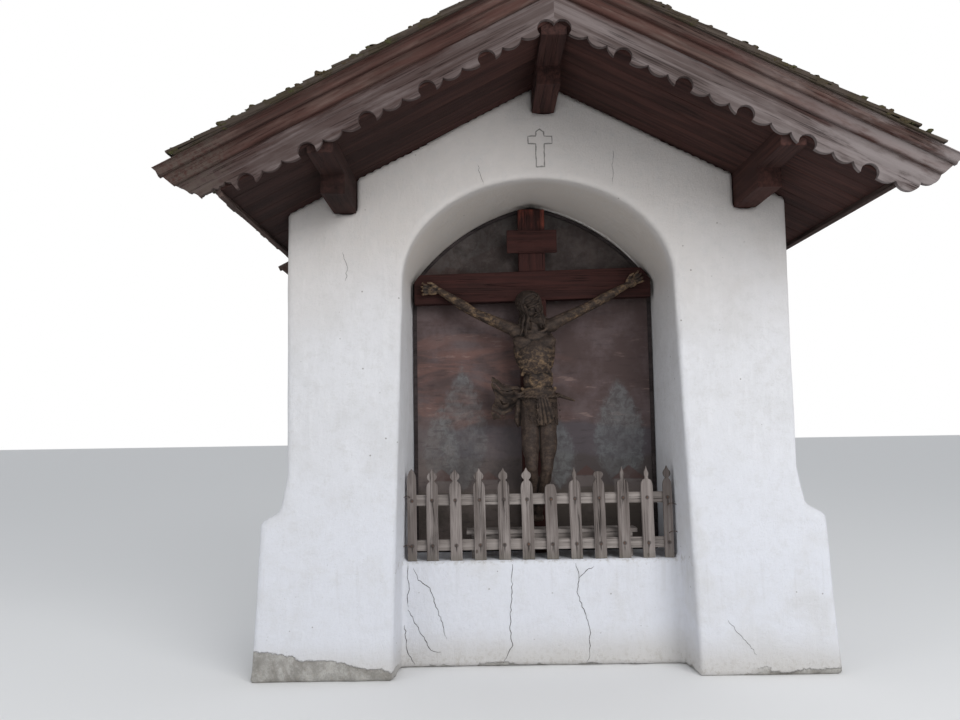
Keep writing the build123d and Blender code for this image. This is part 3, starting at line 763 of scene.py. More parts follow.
barge_wood = wood(
    "barge_wood", barge_light, barge_dark, barge_line, worn=worn_paint(0.07, 0.12, 0.7), checks=0.9,
)
for end in ("front", "back"):
    for label, side in slopes:
        node = end + "_" + label + "_bargeboard"
        shape = node_shape(node)
        if node == "front_left_bargeboard":
            rot_away(shape, side)
        with_grain(shape, slope_grain_frame(side), 0.55)
        with_band(shape, side)
        keep_shape(node + "_carved", shape, barge_wood, [node])


# Mouldings. Two planed boards on the face of each bargeboard, the upper one standing
# forward of the lower, each with a rounded lower edge and a hollow above it.
barge_reach = 2.0846
moulding_top = 0.225
board_thickness = 0.025
mitre_gap = 0.0022
lower_foot = 0.11
upper_foot = 0.17
round_radius = 0.012
hollow_depth = 0.008
moulding_wood = wood(
    "moulding_wood", (0.122, 0.08, 0.068), (0.052, 0.032, 0.027), (0.028, 0.017, 0.015),
    worn=worn_paint(-1.0, -0.9, 0.65), checks=0.8,
)


def moulding_profile(low):
    """Heights above the ceiling and distances proud of the wall side, from the foot up."""
    full = board_thickness
    turns = [step * pi / 8 for step in range(5)]
    rounding = [
        (low + round_radius - round_radius * cos(turn), full - round_radius + round_radius * sin(turn))
        for turn in turns
    ]
    middle = low + 0.6 * (moulding_top - low)
    turns = [step * pi / 6 for step in range(7)]
    hollow = [(middle + 0.009 * (1 - cos(turn)), full - hollow_depth * sin(turn)) for turn in turns]
    return [(low, 0.0)] + rounding + hollow + [(moulding_top, full), (moulding_top, 0.0)]


def extruded(points, step):
    """A closed shape: an outline swept straight by a step."""
    shape = bmesh.new()
    face = shape.faces.new([shape.verts.new(point) for point in points])
    grown = bmesh.ops.extrude_face_region(shape, geom=[face])
    far = [item for item in grown["geom"] if isinstance(item, bmesh.types.BMVert)]
    bmesh.ops.translate(shape, verts=far, vec=step)
    return shape


def add_moulding(node, side, outward, foot, low):
    """A moulded board from the ridge mitre to the slanting end of the bargeboard."""
    profile = [(-0.2, foot + outward * deep, up) for up, deep in moulding_profile(low)]
    shape = extruded(profile, (barge_reach + 0.2, 0, 0))
    bmesh.ops.subdivide_edges(
        shape, edges=[e for e in shape.edges if e.calc_length() > 1.0], cuts=40, use_grid_fill=True,
    )
    cuts = (
        ((mitre_gap * cos(pitch), 0, mitre_gap * sin(pitch)), (-cos(pitch), 0, -sin(pitch))),
        ((barge_reach, 0, moulding_top), (1.0, 0, -0.42)),
    )
    for where, facing in cuts:
        bmesh.ops.bisect_plane(
            shape, geom=all_of(shape), plane_co=where, plane_no=facing, clear_outer=True,
        )
        bmesh.ops.contextual_create(shape, geom=[e for e in shape.edges if e.is_boundary])
    bmesh.ops.transform(shape, matrix=slope_frame(side), verts=shape.verts)
    with_grain(shape, slope_grain_frame(side), dice.uniform(0.4, 0.65))
    with_band(shape, side)
    keep_shape(node + "_planed", shape, moulding_wood, [node])


for label, side in slopes:
    face_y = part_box("front_" + label + "_bargeboard")[0][1]
    back_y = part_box("back_" + label + "_bargeboard")[1][1]
    add_moulding("front_" + label + "_lower_moulding", side, -1, face_y, lower_foot)
    add_moulding("front_" + label + "_upper_moulding", side, -1, face_y - board_thickness, upper_foot)
    add_moulding("back_" + label + "_moulding", side, 1, back_y, lower_foot)


# Lime bead. A thin fillet of lime mortar closes the joint between the panel and the vault
# down the right side of the arch, pale and chipped.
def strand(shape, points, radii, sides=10):
    """A round strand through points, thick and thin, closed by balls at its joints."""
    part = bmesh.new()
    for (start, end), (first, last) in zip(zip(points, points[1:]), zip(radii, radii[1:])):
        run = end - start
        turn = run.to_track_quat("Z", "Y").to_matrix().to_4x4()
        place = Matrix.Translation((start + end) / 2) @ turn
        bmesh.ops.create_cone(
            part, cap_ends=True, segments=sides, radius1=first, radius2=last,
            depth=run.length, matrix=place,
        )
    for point, radius in zip(points, radii):
        ball = Matrix.Translation(point)
        bmesh.ops.create_icosphere(part, subdivisions=2, radius=radius, matrix=ball)
    join(shape, part)


bead = bmesh.new()
bead_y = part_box("panel_frame")[0][1] - 0.004
arch_z = 2.05
bead_points = []
for step in range(34):
    turn = radians(12 + 76 * step / 33)
    outward = Vector((cos(turn), 0.0, sin(turn)))
    hit = plaster_surface.ray_cast(Vector((masonry_x, bead_y, arch_z)), outward)[0]
    if hit is not None:
        bead_points.append(hit - outward * 0.001)
strand(bead, bead_points, [dice.uniform(0.0025, 0.006) for _ in bead_points], sides=8)
keep_shape("lime_bead", bead, plain("lime_shade", (0.62, 0.6, 0.57)))


# Painted panel. A boarded panel fills the back of the niche, painted as a plain dusk
# landscape of hills and a few houses in dull greys and pinkish browns, and much faded.
sky_grey = (0.08, 0.056, 0.053)
sky_pink = (0.165, 0.092, 0.078)
house_wall = (0.15, 0.125, 0.118)
house_roof = (0.088, 0.048, 0.042)
tree_light = (0.178, 0.19, 0.192)
tree_dark = (0.088, 0.092, 0.094)
# Each hill: height of its skyline, how much that varies, how waved it is, and its colour.
hill_list = (
    (1.4, 0.26, 1.5, (0.082, 0.074, 0.082)),
    (1.2, 0.2, 2.3, (0.07, 0.058, 0.054)),
    (1.0, 0.12, 1.2, (0.08, 0.066, 0.055)),
)
# Each tree: across, foot height, half width and height.
tree_list = (
    (-0.6, 1.0, 0.08, 0.56), (-0.46, 0.98, 0.105, 0.84), (0.16, 0.99, 0.07, 0.48),
    (0.55, 0.97, 0.11, 0.76),
)
# Each house: across, foot height, half width and wall height.
house_list = (
    (-0.6, 0.98, 0.085, 0.075), (-0.3, 1.0, 0.06, 0.06), (0.33, 1.01, 0.07, 0.07),
    (0.6, 0.97, 0.095, 0.085),
)


def dusk_landscape(name):
    """Sky, hills, trees and houses, faded, and darker towards the top."""
    paint = Paint(name, roughness=0.75, specular=0.1)
    place = paint.place()
    x, _, z = paint.axes()
    bands = paint.noise(place, (1.6, 1.0, 7.5), detail=6.0, roughness=0.65, distortion=0.7)
    fade = paint.noise(place, 3.4, detail=7.0, roughness=0.7)
    strokes = paint.noise(place, (9.0, 1.0, 44.0), detail=5.0)
    leaves = paint.noise(place, (26.0, 1.0, 21.0), detail=6.0, roughness=0.72, distortion=0.6)
    glow = z.rise(1.15, 1.45) * z.rise(2.15, 1.85)
    layers = [
        (fade.rise(0.4, 0.62), (0.108, 0.08, 0.08)),
        (bands.rise(0.46, 0.62) * x.rise(0.45, -0.45) * glow * 0.8, sky_pink),
        (strokes.rise(0.56, 0.7) * bands.rise(0.5, 0.6) * glow * 0.55, (0.27, 0.19, 0.17)),
    ]
    for height, reach, waviness, tint in hill_list:
        skyline = paint.noise(paint.stretched(place, (waviness, 0.0, 0.0), (height, 0, 0)))
        below = (z - (skyline - 0.5) * reach).rise(height + 0.02, height - 0.02)
        layers.append((below * 0.75, tint))
    foliage = paint.mix(leaves.rise(0.35, 0.62), tree_dark, tree_light)
    for middle, foot, half, tall in tree_list:
        across = (x - (masonry_x + middle)).size()
        share = (z - foot) / tall
        reach = share * (1.0 - share) * (6.4 * half) * (1.25 - share * 0.5)
        crown = (reach - across + (leaves - 0.5) * 0.11).rise(-0.006, 0.048)
        layers.append((crown * (fade.rise(0.3, 0.62) * 0.4 + 0.22), foliage))
    for middle, foot, half, tall in house_list:
        across = (x - (masonry_x + middle)).size()
        eaves = foot + tall
        wall = across.rise(half + 0.006, half - 0.006) * z.rise(foot - 0.006, foot + 0.006)
        wall = wall * z.rise(eaves + 0.006, eaves - 0.006)
        slope = (z - eaves) + across * 0.8
        roof = slope.rise(half * 0.98, half * 0.86) * z.rise(eaves - 0.006, eaves + 0.006)
        layers += [(wall * 0.6, house_wall), (roof * 0.65, house_roof)]
    # The panel grows darker towards its top.
    top_darkening = paint.mix(fade.rise(0.42, 0.6), (0.026, 0.017, 0.014), (0.058, 0.041, 0.035))
    layers += [
        (fade.rise(0.5, 0.72) * 0.35, (0.15, 0.124, 0.118)),
        (x.rise(0.3, -0.6) * z.rise(1.7, 1.1) * fade.rise(0.3, 0.6) * 0.6, (0.185, 0.15, 0.138)),
        (z.rise(2.05, 2.4) * 0.75, top_darkening),
        (strokes.rise(0.44, 0.3) * 0.35, (0.045, 0.035, 0.036)),
    ]
    return paint.finish(paint.coats(sky_grey, *layers), strokes * 0.5 + fade * 0.3)


painted(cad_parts["back_panel"].data, dusk_landscape("dusk_panel"))


# Cross. Two heavy squared timbers halved over each other, with a bare title board, and
# the thin strip round the panel, all stained the dark red-brown of the ceiling.
title_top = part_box("title_board")[1][2]


def redder_lit_post_top(paint, grain, colour, stain):
    """Redder above the title board, high under the vault, and lighter there as painted light."""
    high = paint.axes()[2].rise(title_top, title_top + 0.05) * stain.rise(0.62, 0.42)
    return paint.mix(high * 0.75, colour, (0.206, 0.051, 0.032))


cross_wood = wood(
    "cross_wood", (0.047, 0.0175, 0.015), (0.029, 0.012, 0.0105), (0.019, 0.01, 0.009),
    checks=0.7, worn=redder_lit_post_top,
)
strip_wood = wood("strip_wood", (0.05, 0.04, 0.04), (0.028, 0.022, 0.022), (0.015, 0.012, 0.012))
along_z = turned(-90, "Y")
along_x = Matrix.Identity(4)
timber("cross_post", along_z, cross_wood, width=0.006, tone=0.5)
timber("cross_beam", along_x, cross_wood, width=0.005, tone=0.5)
timber("title_board", along_x, cross_wood, tone=0.6)
timber("panel_frame", along_x, strip_wood, width=0.003, tone=0.5)


# Picket fence. Twelve sawn softwood pales with onion-shaped heads, some split or broken,
# screwed to two rails and standing on the sill. The bare wood has gone grey-beige.
pale_count = 12
pale_width = 0.07
pale_thickness = 0.02
end_pale_width = 0.054
end_pale_gap = 0.006
pale_pitch = 0.143
fence_low, fence_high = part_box("picket_fence")
first_pale = (fence_low[0] + fence_high[0]) / 2 - (pale_count - 1) / 2 * pale_pitch
fence_tall = fence_high[2] - fence_low[2]
head_drop = 0.103
pale_shift = 0.002
rail_margin = 0.004
pale_places = [first_pale + number * pale_pitch for number in range(pale_count)]
pale_places[0] = fence_low[0] + end_pale_width / 2 + end_pale_gap
pale_places[-1] = fence_high[0] - end_pale_width / 2 - end_pale_gap
rail_heights = ((0.057, 0.121), (0.323, 0.387))


def screw_stains(paint, grain, colour, stain):
    """Black drips under the screws, knots, and grey-green dirt near the foot."""
    place = paint.place()
    z = paint.axes()[2]
    centre = paint.attribute("centre", output=2).size()
    drip = paint.noise(place, (60.0, 1.0, 9.0), detail=2.0).rise(0.4, 0.52)
    layers = []
    for low, high in rail_heights:
        middle = fence_low[2] + (low + high) / 2
        run = z.rise(middle - 0.06, middle - 0.012) * z.rise(middle + 0.012, middle + 0.002)
        rise = z - middle
        halo = (centre * centre + rise * rise).rise(0.00024, 0.00008)
        layers += [
            (run * centre.rise(0.0065, 0.0025) * drip * 0.85, (0.03, 0.026, 0.024)),
            (halo * 0.65, (0.045, 0.036, 0.032)),
        ]
    knot = paint.cells(paint.stretched(place, (9.0, 1.0, 5.0)))
    return paint.coats(
        colour, *layers,
        (knot.rise(0.085, 0.045) * 0.75, (0.05, 0.036, 0.03)),
        (z.rise(fence_low[2] + 0.07, fence_low[2]) * 0.5, (0.13, 0.12, 0.1)),
    )


grey_wood = wood(
    "grey_wood", (0.292, 0.258, 0.242), (0.13, 0.109, 0.1), (0.055, 0.045, 0.04),
    worn=screw_stains, checks=1.0, fibres=0.8,
)
rail_wood = wood(
    "rail_wood", (0.385, 0.345, 0.322), (0.205, 0.178, 0.163), (0.085, 0.07, 0.061),
    checks=0.9, fibres=0.7,
)
# Head of each pale: round, whole, a broken stump, one cut short, or a spike worn thin.
heads = (
    "round", "whole", "whole", "whole", "whole", "whole",
    "stump", "spike", "cut", "spike", "spike", "whole",
)
leans = (0.2, 0.1, 0.9, 0.7, 0.4, 1.0, 1.1, 0.9, 0.8, 0.9, 0.6, 0.4)


def head_outline(kind, half):
    """Half-widths and heights of a pale from its shoulder to its tip."""
    neck, ball = (0.28, 0.36) if kind == "spike" else (0.42, 0.83)
    whole = (
        (1.0, -0.02), (0.97, -0.008), (0.88, 0.006), (0.68, 0.017), (neck, 0.024), (neck, 0.031),
        (0.8 * ball, 0.038), (0.97 * ball, 0.047), (ball, 0.056), (0.88 * ball, 0.066),
        (0.62 * ball, 0.074), (0.34 * ball, 0.082), (0.16 * ball, 0.093),
    )
    spoilt = {
        "stump": ((1.0, -0.045), (0.9, -0.02), (0.66, -0.004), (0.3, 0.0)),
        "round": ((1.0, 0.025), (0.9, 0.06), (0.56, 0.086), (0.2, 0.096)),
        "cut": (
            (1.0, -0.02), (0.97, -0.008), (0.84, 0.006), (0.6, 0.02), (neck, 0.027),
            (0.8 * ball, 0.04), (ball, 0.052), (0.9 * ball, 0.063), (0.62 * ball, 0.07),
        ),
    }
    return [(wide * half, fence_tall - head_drop + up) for wide, up in spoilt.get(kind, whole)]


gather = bmesh.new()
for number in range(pale_count):
    half = (end_pale_width if number in (0, pale_count - 1) else pale_width) / 2
    outline = head_outline(heads[number], half)
    tip = outline[-1][1] + (0.002 if heads[number] in ("stump", "cut") else 0.008)
    right = [(half, 0.0), (half, 0.12), (half, 0.26)] + outline
    points = right + [(0.0, min(tip, fence_tall))] + [(-a, b) for a, b in reversed(right)]
    part = extruded([(a, 0.0, b) for a, b in points], (0, pale_thickness, 0))
    bmesh.ops.recalc_face_normals(part, faces=part.faces)
    ease_edges(part, 0.0022)
    for vertex in part.verts:
        seed = Vector((number * 3.1, vertex.co.z * 9.0, vertex.co.x * 30.0))
        vertex.co.x += 0.0022 * noise.noise(seed)
        vertex.co.y += 0.0012 * noise.noise(seed * 1.7)
    with_grain(part, along_z)
    centre = part.verts.layers.float.new("centre")
    for vertex in part.verts:
        vertex[centre] = vertex.co.x
    where = Matrix.Translation((pale_places[number] + pale_shift, fence_low[1], fence_low[2]))
    bmesh.ops.transform(part, matrix=where @ turned(-leans[number], "Y"), verts=part.verts)
    join(gather, part)
keep_shape("fence_pales", gather, grey_wood, ["picket_fence"])

gather = bmesh.new()
for low, high in rail_heights:
    corner = (fence_low[0] + rail_margin, fence_low[1] + pale_thickness, fence_low[2] + low)
    other = (fence_high[0] - rail_margin, fence_high[1], fence_low[2] + high)
    add_board(gather, corner, other, width=0.004)
keep_shape("fence_rails", gather, rail_wood)

iron_paint = Paint("rusty_iron", roughness=0.7, specular=0.4)
iron_spots = iron_paint.noise(iron_paint.place(), 90.0)
iron_colour = iron_paint.mix(iron_spots.rise(0.4, 0.6), (0.035, 0.03, 0.03), (0.1, 0.05, 0.03))
iron = iron_paint.finish(iron_colour, iron_spots, depth=0.001)


def add_stud(shape, where, first, last, depth, facets):
    """A round metal head that faces the front."""
    place = Matrix.Translation(where) @ turned(90, "X")
    bmesh.ops.create_cone(
        shape, cap_ends=True, segments=facets, radius1=first, radius2=last, depth=depth, matrix=place,
    )


screws = bmesh.new()
for number in range(pale_count):
    for low, high in rail_heights:
        height = (low + high) / 2 + dice.uniform(-0.003, 0.003)
        across = pale_places[number] + pale_shift - height * sin(radians(leans[number]))
        across += dice.uniform(-0.003, 0.003)
        where = (across, fence_low[1] + 0.0005, fence_low[2] + height)
        add_stud(screws, where, 0.0085, 0.0055, 0.005, 16)
keep_shape("fence_screws", screws, iron)


# Fence hooks. Two bent wires at each end hold the fence to the jambs of the niche.
def curved(shape, points, radii, steps=4, sides=8):
    """A strand whose path runs smoothly through its points."""
    path, sizes = [], []
    ends = [points[0], *points, points[-1]]
    for number in range(len(points) - 1):
        a, b, c, d = ends[number:number + 4]
        for step in range(steps):
            t = step / steps
            bend = (c - a) * t + (2 * a - 5 * b + 4 * c - d) * t ** 2 + (3 * b - a - 3 * c + d) * t ** 3
            path.append(b + 0.5 * bend)
            sizes.append(radii[number] * (1 - t) + radii[number + 1] * t)
    strand(shape, path + [points[-1]], sizes + [radii[-1]], sides)


# Each hook: where it meets the jamb and the pale, and its height.
hook_list = (
    (fence_low[0] - 0.014, fence_low[0] + 0.022, 0.989),
    (fence_low[0] - 0.02, fence_low[0] + 0.022, 0.7),
    (fence_high[0] + 0.016, fence_high[0] - 0.034, 0.924),
    (fence_high[0] + 0.02, fence_high[0] - 0.028, 0.76),
)
hooks = bmesh.new()
for jamb, pale, height in hook_list:
    wire = [
        Vector((jamb, fence_low[1] - 0.004, height - 0.003)),
        Vector(((jamb + pale) / 2, fence_low[1] - 0.016, height + 0.008)),
        Vector((pale, fence_low[1] - 0.006, height)),
        Vector((pale, fence_low[1] + 0.004, height - 0.01)),
    ]
    curved(hooks, wire, [0.0022] * 4)
keep_shape("fence_hooks", hooks, iron)


# Flower bench. A low bench of the same grey softwood behind the fence: three slats on
# two aprons and four short legs.
timber("bench_slats", along_x, rail_wood, width=0.003, tone=0.3)
timber("bench_frame", along_x, rail_wood, width=0.003, tone=0.2)


# Carved figure. Limewood carved in the round and painted once, now dark with age, with old
# ochre showing on the raised parts. Muscles and folds are joined into smooth skins.
figure_x = masonry_x
cross_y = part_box("cross_post")[0][1]
beam_middle = sum(corner[2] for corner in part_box("cross_beam")) / 2
sway = 0.02


def at(across, out, up):
    """A point of the figure: across from the post, out from its face, up from the beam."""
    return Vector((figure_x + across, cross_y - out, beam_middle + up))


def lump(shape, centre, radii, turn=Matrix.Identity(4)):
    """An oval swelling."""
    part = bmesh.new()
    place = Matrix.Translation(centre) @ turn @ Matrix.Diagonal((*radii, 1.0))
    bmesh.ops.create_icosphere(part, subdivisions=3, radius=1.0, matrix=place)
    join(shape, part)


def swell(shape, start, end, share, aside, radii):
    """A muscle: an oval swelling lengthways on a limb, part of the way along it."""
    turn = (end - start).to_track_quat("X", "Z").to_matrix().to_4x4()
    lump(shape, start.lerp(end, share) + Vector(aside), radii, turn)


def pointing(side, angle):
    """The way an arm points, raised by an angle in degrees."""
    return Vector((side * cos(radians(angle)), 0, sin(radians(angle))))


def mark_relief(mesh, passes):
    """Writes how far each vertex stands out of the broad form around it."""
    shape = bmesh.new()
    shape.from_mesh(mesh)
    before = [(vertex.co.copy(), vertex.normal.copy()) for vertex in shape.verts]
    for _ in range(passes):
        bmesh.ops.smooth_vert(
            shape, verts=shape.verts, factor=0.5, use_axis_x=True, use_axis_y=True, use_axis_z=True,
        )
    raised = [(spot - vertex.co).dot(facing) for (spot, facing), vertex in zip(before, shape.verts)]
    shape.free()
    layer = mesh.attributes.new("raised", "FLOAT", "POINT")
    layer.data.foreach_set("value", raised)


def hand(shape, wrist, reach, side):
    """An open hand, palm to the front and thumb up, with its fingers a little curled."""
    towards = Vector((0, -1, 0))
    thumb_way = towards.cross(reach) * side
    turn = Matrix((
        (reach.x, 0, thumb_way.x, 0), (0, 1, 0, 0), (reach.z, 0, thumb_way.z, 0), (0, 0, 0, 1),
    ))
    lump(shape, wrist + reach * 0.042, (0.046, 0.0135, 0.033), turn)
    ball = wrist + reach * 0.03 + thumb_way * 0.02 + towards * 0.006
    lump(shape, ball, (0.026, 0.012, 0.015), turn)
    fingers = ((0.025, 0.052), (0.0085, 0.058), (-0.0085, 0.054), (-0.024, 0.042))
    for offset, length in fingers:
        fan = thumb_way * offset
        base = wrist + reach * 0.072 + fan
        knuckle = base + reach * (0.48 * length) + fan * 0.3 + towards * 0.009
        bend = knuckle + reach * (0.2 * length) + fan * 0.15 + towards * (0.26 * length)
        tip = bend - reach * (0.1 * length) + towards * (0.2 * length)
        strand(shape, [base, knuckle, bend, tip], [0.0088, 0.008, 0.0074, 0.0062])
    start = wrist + reach * 0.024 + thumb_way * 0.026
    joint = start + reach * 0.026 + thumb_way * 0.014 + towards * 0.012
    strand(shape, [start, joint, joint + reach * 0.022 + towards * 0.012], [0.011, 0.0095, 0.0075])


rib_middle = at(0.005, 0.076, -0.47)
rib_radii = Vector((0.118, 0.076, 0.135))


def on_chest(side, turn, up):
    """A point of the rib cage, turned by an angle from the middle line of the chest."""
    height = beam_middle + up - rib_middle.z
    narrow = 0.95 * (1 - (height / rib_radii.z) ** 2) ** 0.5
    across = rib_middle.x + side * rib_radii.x * sin(turn) * narrow
    return Vector((across, rib_middle.y - rib_radii.y * cos(turn) * narrow, beam_middle + up))


body = bmesh.new()
lump(body, at(sway, 0.068, -0.705), (0.112, 0.068, 0.08))
lump(body, at(sway, 0.064, -0.61), (0.094, 0.058, 0.115))
lump(body, rib_middle, rib_radii)
lump(body, at(0.0, 0.064, -0.352), (0.112, 0.056, 0.072))
lump(body, at(sway, 0.096, -0.675), (0.058, 0.032, 0.05))
arm_joints = (
    (-1, at(-0.0875, 0.068, -0.309), at(-0.374, 0.05, -0.176), at(-0.597, 0.034, -0.027), 4),
    (1, at(0.0875, 0.068, -0.27), at(0.373, 0.05, -0.136), at(0.598, 0.034, -0.013), 32),
)
for side, root, elbow, wrist, rise_angle in arm_joints:
    cap = root + Vector((side * 0.03, 0.0, 0.006))
    chest_turn = Matrix.Rotation(side * -0.35, 4, "Y")
    lump(body, at(side * 0.056, 0.09, -0.384), (0.084, 0.039, 0.05), chest_turn)
    lump(body, cap, (0.05, 0.042, 0.042), Matrix.Rotation(side * -0.45, 4, "Y"))
    strand(body, [cap + Vector((0, 0.006, 0.008)), at(side * 0.022, 0.066, -0.235)], [0.03, 0.03])
    lump(body, at(side * 0.1, 0.062, -0.41), (0.032, 0.046, 0.1))
    for rib in range(4):
        up = -0.452 - rib * 0.032
        turns = (0.55 + 0.07 * rib, 0.8 + 0.03 * rib, 1.05, 1.35, 1.6)
        drops = (0.0, -0.01, -0.013, -0.006, 0.006)
        arc = [on_chest(side, turn, up + drop) for turn, drop in zip(turns, drops)]
        curved(body, arc, [0.005, 0.0085, 0.0095, 0.0085, 0.005], steps=3)
    arch = [
        at(0.004 + side * 0.01, 0.138, -0.462), at(0.006 + side * 0.05, 0.128, -0.512),
        at(0.01 + side * 0.09, 0.088, -0.575),
    ]
    curved(body, arch, [0.013, 0.016, 0.012])
    for row in range(3):
        middle = at(0.8 * sway + side * 0.026, 0.108 - 0.002 * row, -0.545 - 0.044 * row)
        lump(body, middle, (0.03, 0.019, 0.026))
    hip_line = [
        at(sway + side * 0.102, 0.08, -0.662), at(sway + side * 0.076, 0.104, -0.7),
        at(sway + side * 0.035, 0.118, -0.742),
    ]
    curved(body, hip_line, [0.012, 0.014, 0.01])
    collar = [
        at(side * 0.014, 0.104, -0.312), at(side * 0.064, 0.1, -0.3), cap + Vector((0, -0.022, 0.014)),
    ]
    curved(body, collar, [0.0095, 0.009, 0.0095])
    strand(body, [at(side * 0.012, 0.106, -0.306), at(side * 0.034, 0.088, -0.215)], [0.008, 0.01])
    strand(body, [root, root.lerp(elbow, 0.45), elbow], [0.043, 0.037, 0.03])
    swell(body, root, elbow, 0.55, (0, -0.012, 0.008), (0.076, 0.026, 0.025))
    swell(body, root, elbow, 0.52, (0, 0.004, -0.01), (0.085, 0.024, 0.025))
    swell(body, root, elbow, 1.0, (0, 0, 0), (0.027, 0.026, 0.026))
    forearm = [elbow, elbow.lerp(wrist, 0.28), elbow.lerp(wrist, 0.62), wrist]
    strand(body, forearm, [0.03, 0.0335, 0.028, 0.02])
    swell(body, elbow, wrist, 0.27, (0, -0.004, 0.01), (0.062, 0.022, 0.021))
    swell(body, elbow, wrist, 0.3, (0, -0.004, -0.008), (0.066, 0.022, 0.019))
    for lift in (-0.006, 0.005):
        vein = [
            elbow.lerp(wrist, share) + Vector((0, -0.02 + 0.006 * share, lift))
            for share in (0.35, 0.65, 0.97)
        ]
        curved(body, vein, [0.006, 0.0085, 0.006])
    hand(body, wrist, pointing(side, rise_angle), side)
strand(body, [at(0.0, 0.066, -0.315), at(-0.004, 0.082, -0.205)], [0.046, 0.04])
foot_places = (
    (-1, at(-0.018, 0.05, -1.362), at(0.0, 0.056, -1.448)),
    (1, at(0.014, 0.076, -1.352), at(0.004, 0.088, -1.436)),
)
for side, ankle, toes in foot_places:
    hip = at(sway + side * 0.054, 0.074, -0.8)
    knee = at(sway / 2 + side * 0.047, 0.152, -1.15)
    strand(body, [hip, hip.lerp(knee, 0.5), knee], [0.064, 0.054, 0.038])
    swell(body, hip, knee, 0.55, (side * 0.01, -0.01, 0), (0.13, 0.05, 0.048))
    swell(body, hip, knee, 0.8, (side * -0.014, -0.008, 0), (0.05, 0.026, 0.026))
    lump(body, knee + Vector((0, -0.014, 0)), (0.031, 0.026, 0.036))
    strand(body, [knee, knee.lerp(ankle, 0.35), ankle], [0.036, 0.036, 0.0225])
    swell(body, knee, ankle, 0.34, (side * 0.006, 0.014, 0), (0.08, 0.036, 0.034))
    shin = [
        knee + Vector((0, -0.022, -0.035)), knee.lerp(ankle, 0.5) + Vector((0, -0.026, 0)),
        ankle + Vector((0, -0.014, 0.01)),
    ]
    curved(body, shin, [0.01, 0.009, 0.008])
    lump(body, ankle + Vector((side * 0.021, 0, 0)), (0.01, 0.012, 0.013))
    strand(body, [ankle, ankle.lerp(toes, 0.55) + Vector((0, -0.012, 0)), toes], [0.025, 0.027, 0.021])
    lump(body, ankle + Vector((0, 0.016, -0.014)), (0.02, 0.022, 0.024))
    for toe in range(5):
        spread = (toe - 2) * 0.0115
        start = toes + Vector((spread, -0.006, -0.008))
        end = start + Vector((0.1 * spread, -0.006, -0.022 + 0.002 * abs(toe - 2)))
        strand(body, [start, end], [0.008, 0.007])
figure_body = one_skin(mesh_of(body, "figure_body"), 0.0042, 7)
mark_relief(figure_body, 14)

cloth = bmesh.new()
skirt = bmesh.new()
skirt_place = Matrix.Translation(at(sway, 0.073, -0.8)) @ Matrix.Diagonal((1.0, 0.66, 1.0, 1.0))
bmesh.ops.create_cone(
    skirt, cap_ends=True, segments=48, radius1=0.118, radius2=0.114, depth=0.185, matrix=skirt_place,
)
join(cloth, skirt)


def on_hips(turn, up, proud=0.0):
    """A point of the cloth, turned by an angle from the middle line of the hips."""
    return at(sway + (0.117 + proud) * sin(turn), 0.073 + (0.078 + proud) * cos(turn), up)


def draped(shape, across, down, thickness, place):
    """A sheet of cloth whose points are set by place(u, v), both from 0 to 1."""
    sheet = bmesh.new()
    bmesh.ops.create_grid(sheet, x_segments=across, y_segments=down, size=0.5)
    for vertex in sheet.verts:
        vertex.co = place(vertex.co.x + 0.5, vertex.co.y + 0.5)
    bmesh.ops.solidify(sheet, geom=all_of(sheet), thickness=thickness)
    join(shape, sheet)


def wrapped(u, v):
    """The wrap round the hips: folds that fall from the belt and sweep aside in front."""
    turn = radians(330) * (u - 0.5)
    drop = 1.0 - v
    sweep = turn - 0.45 * drop * exp(-(turn / 0.8) ** 2)
    fold = 0.01 * abs(cos(9.5 * sweep + 0.9 * sin(2.3 * turn)))
    fold += 0.005 * abs(cos(17.0 * sweep + 2.0 * sin(1.7 * turn)))
    hem = -0.886 - 0.01 * sin(3.0 * turn) - 0.004 * sin(11.0 * turn)
    proud = 0.004 + fold * min(1.0, 0.3 + 1.3 * drop) + 0.004 * drop
    return on_hips(turn, -0.702 + (hem + 0.702) * drop, proud)


def front_fall(u, v):
    """The end that is tucked over the belt in front and hangs in deep folds."""
    drop = 1.0 - v
    turn = (-0.16 + 0.46 * u) * (1.0 - drop) + (-0.1 + 0.95 * u) * drop
    fold = abs(cos(pi * 4.5 * u + 0.9 * drop))
    up = -0.694 - (0.168 + 0.022 * sin(4.0 * u + 0.5)) * drop
    return on_hips(turn, up, 0.013 + 0.013 * fold * (0.45 + 0.55 * drop))


def flying(u, v):
    """The loose end blown out to one side, in soft pipes that spread from the knot."""
    across = -0.088 - 0.176 * u - 0.014 * u * sin(9.0 * v)
    low = -0.77 - 0.082 * u + 0.012 * sin(8.0 * u)
    high = -0.66 + 0.078 * u + 0.008 * sin(7.0 * u + 1.0)
    up = low + (high - low) * v
    pipe = abs(sin(pi * (2.7 * v + 0.15) + 0.7 * sin(3.4 * u)))
    crumple = noise.noise(Vector((across * 15.0, up * 15.0, 4.0)))
    return at(across, 0.026 + (0.01 + 0.022 * u) * pipe + 0.016 * crumple, up)


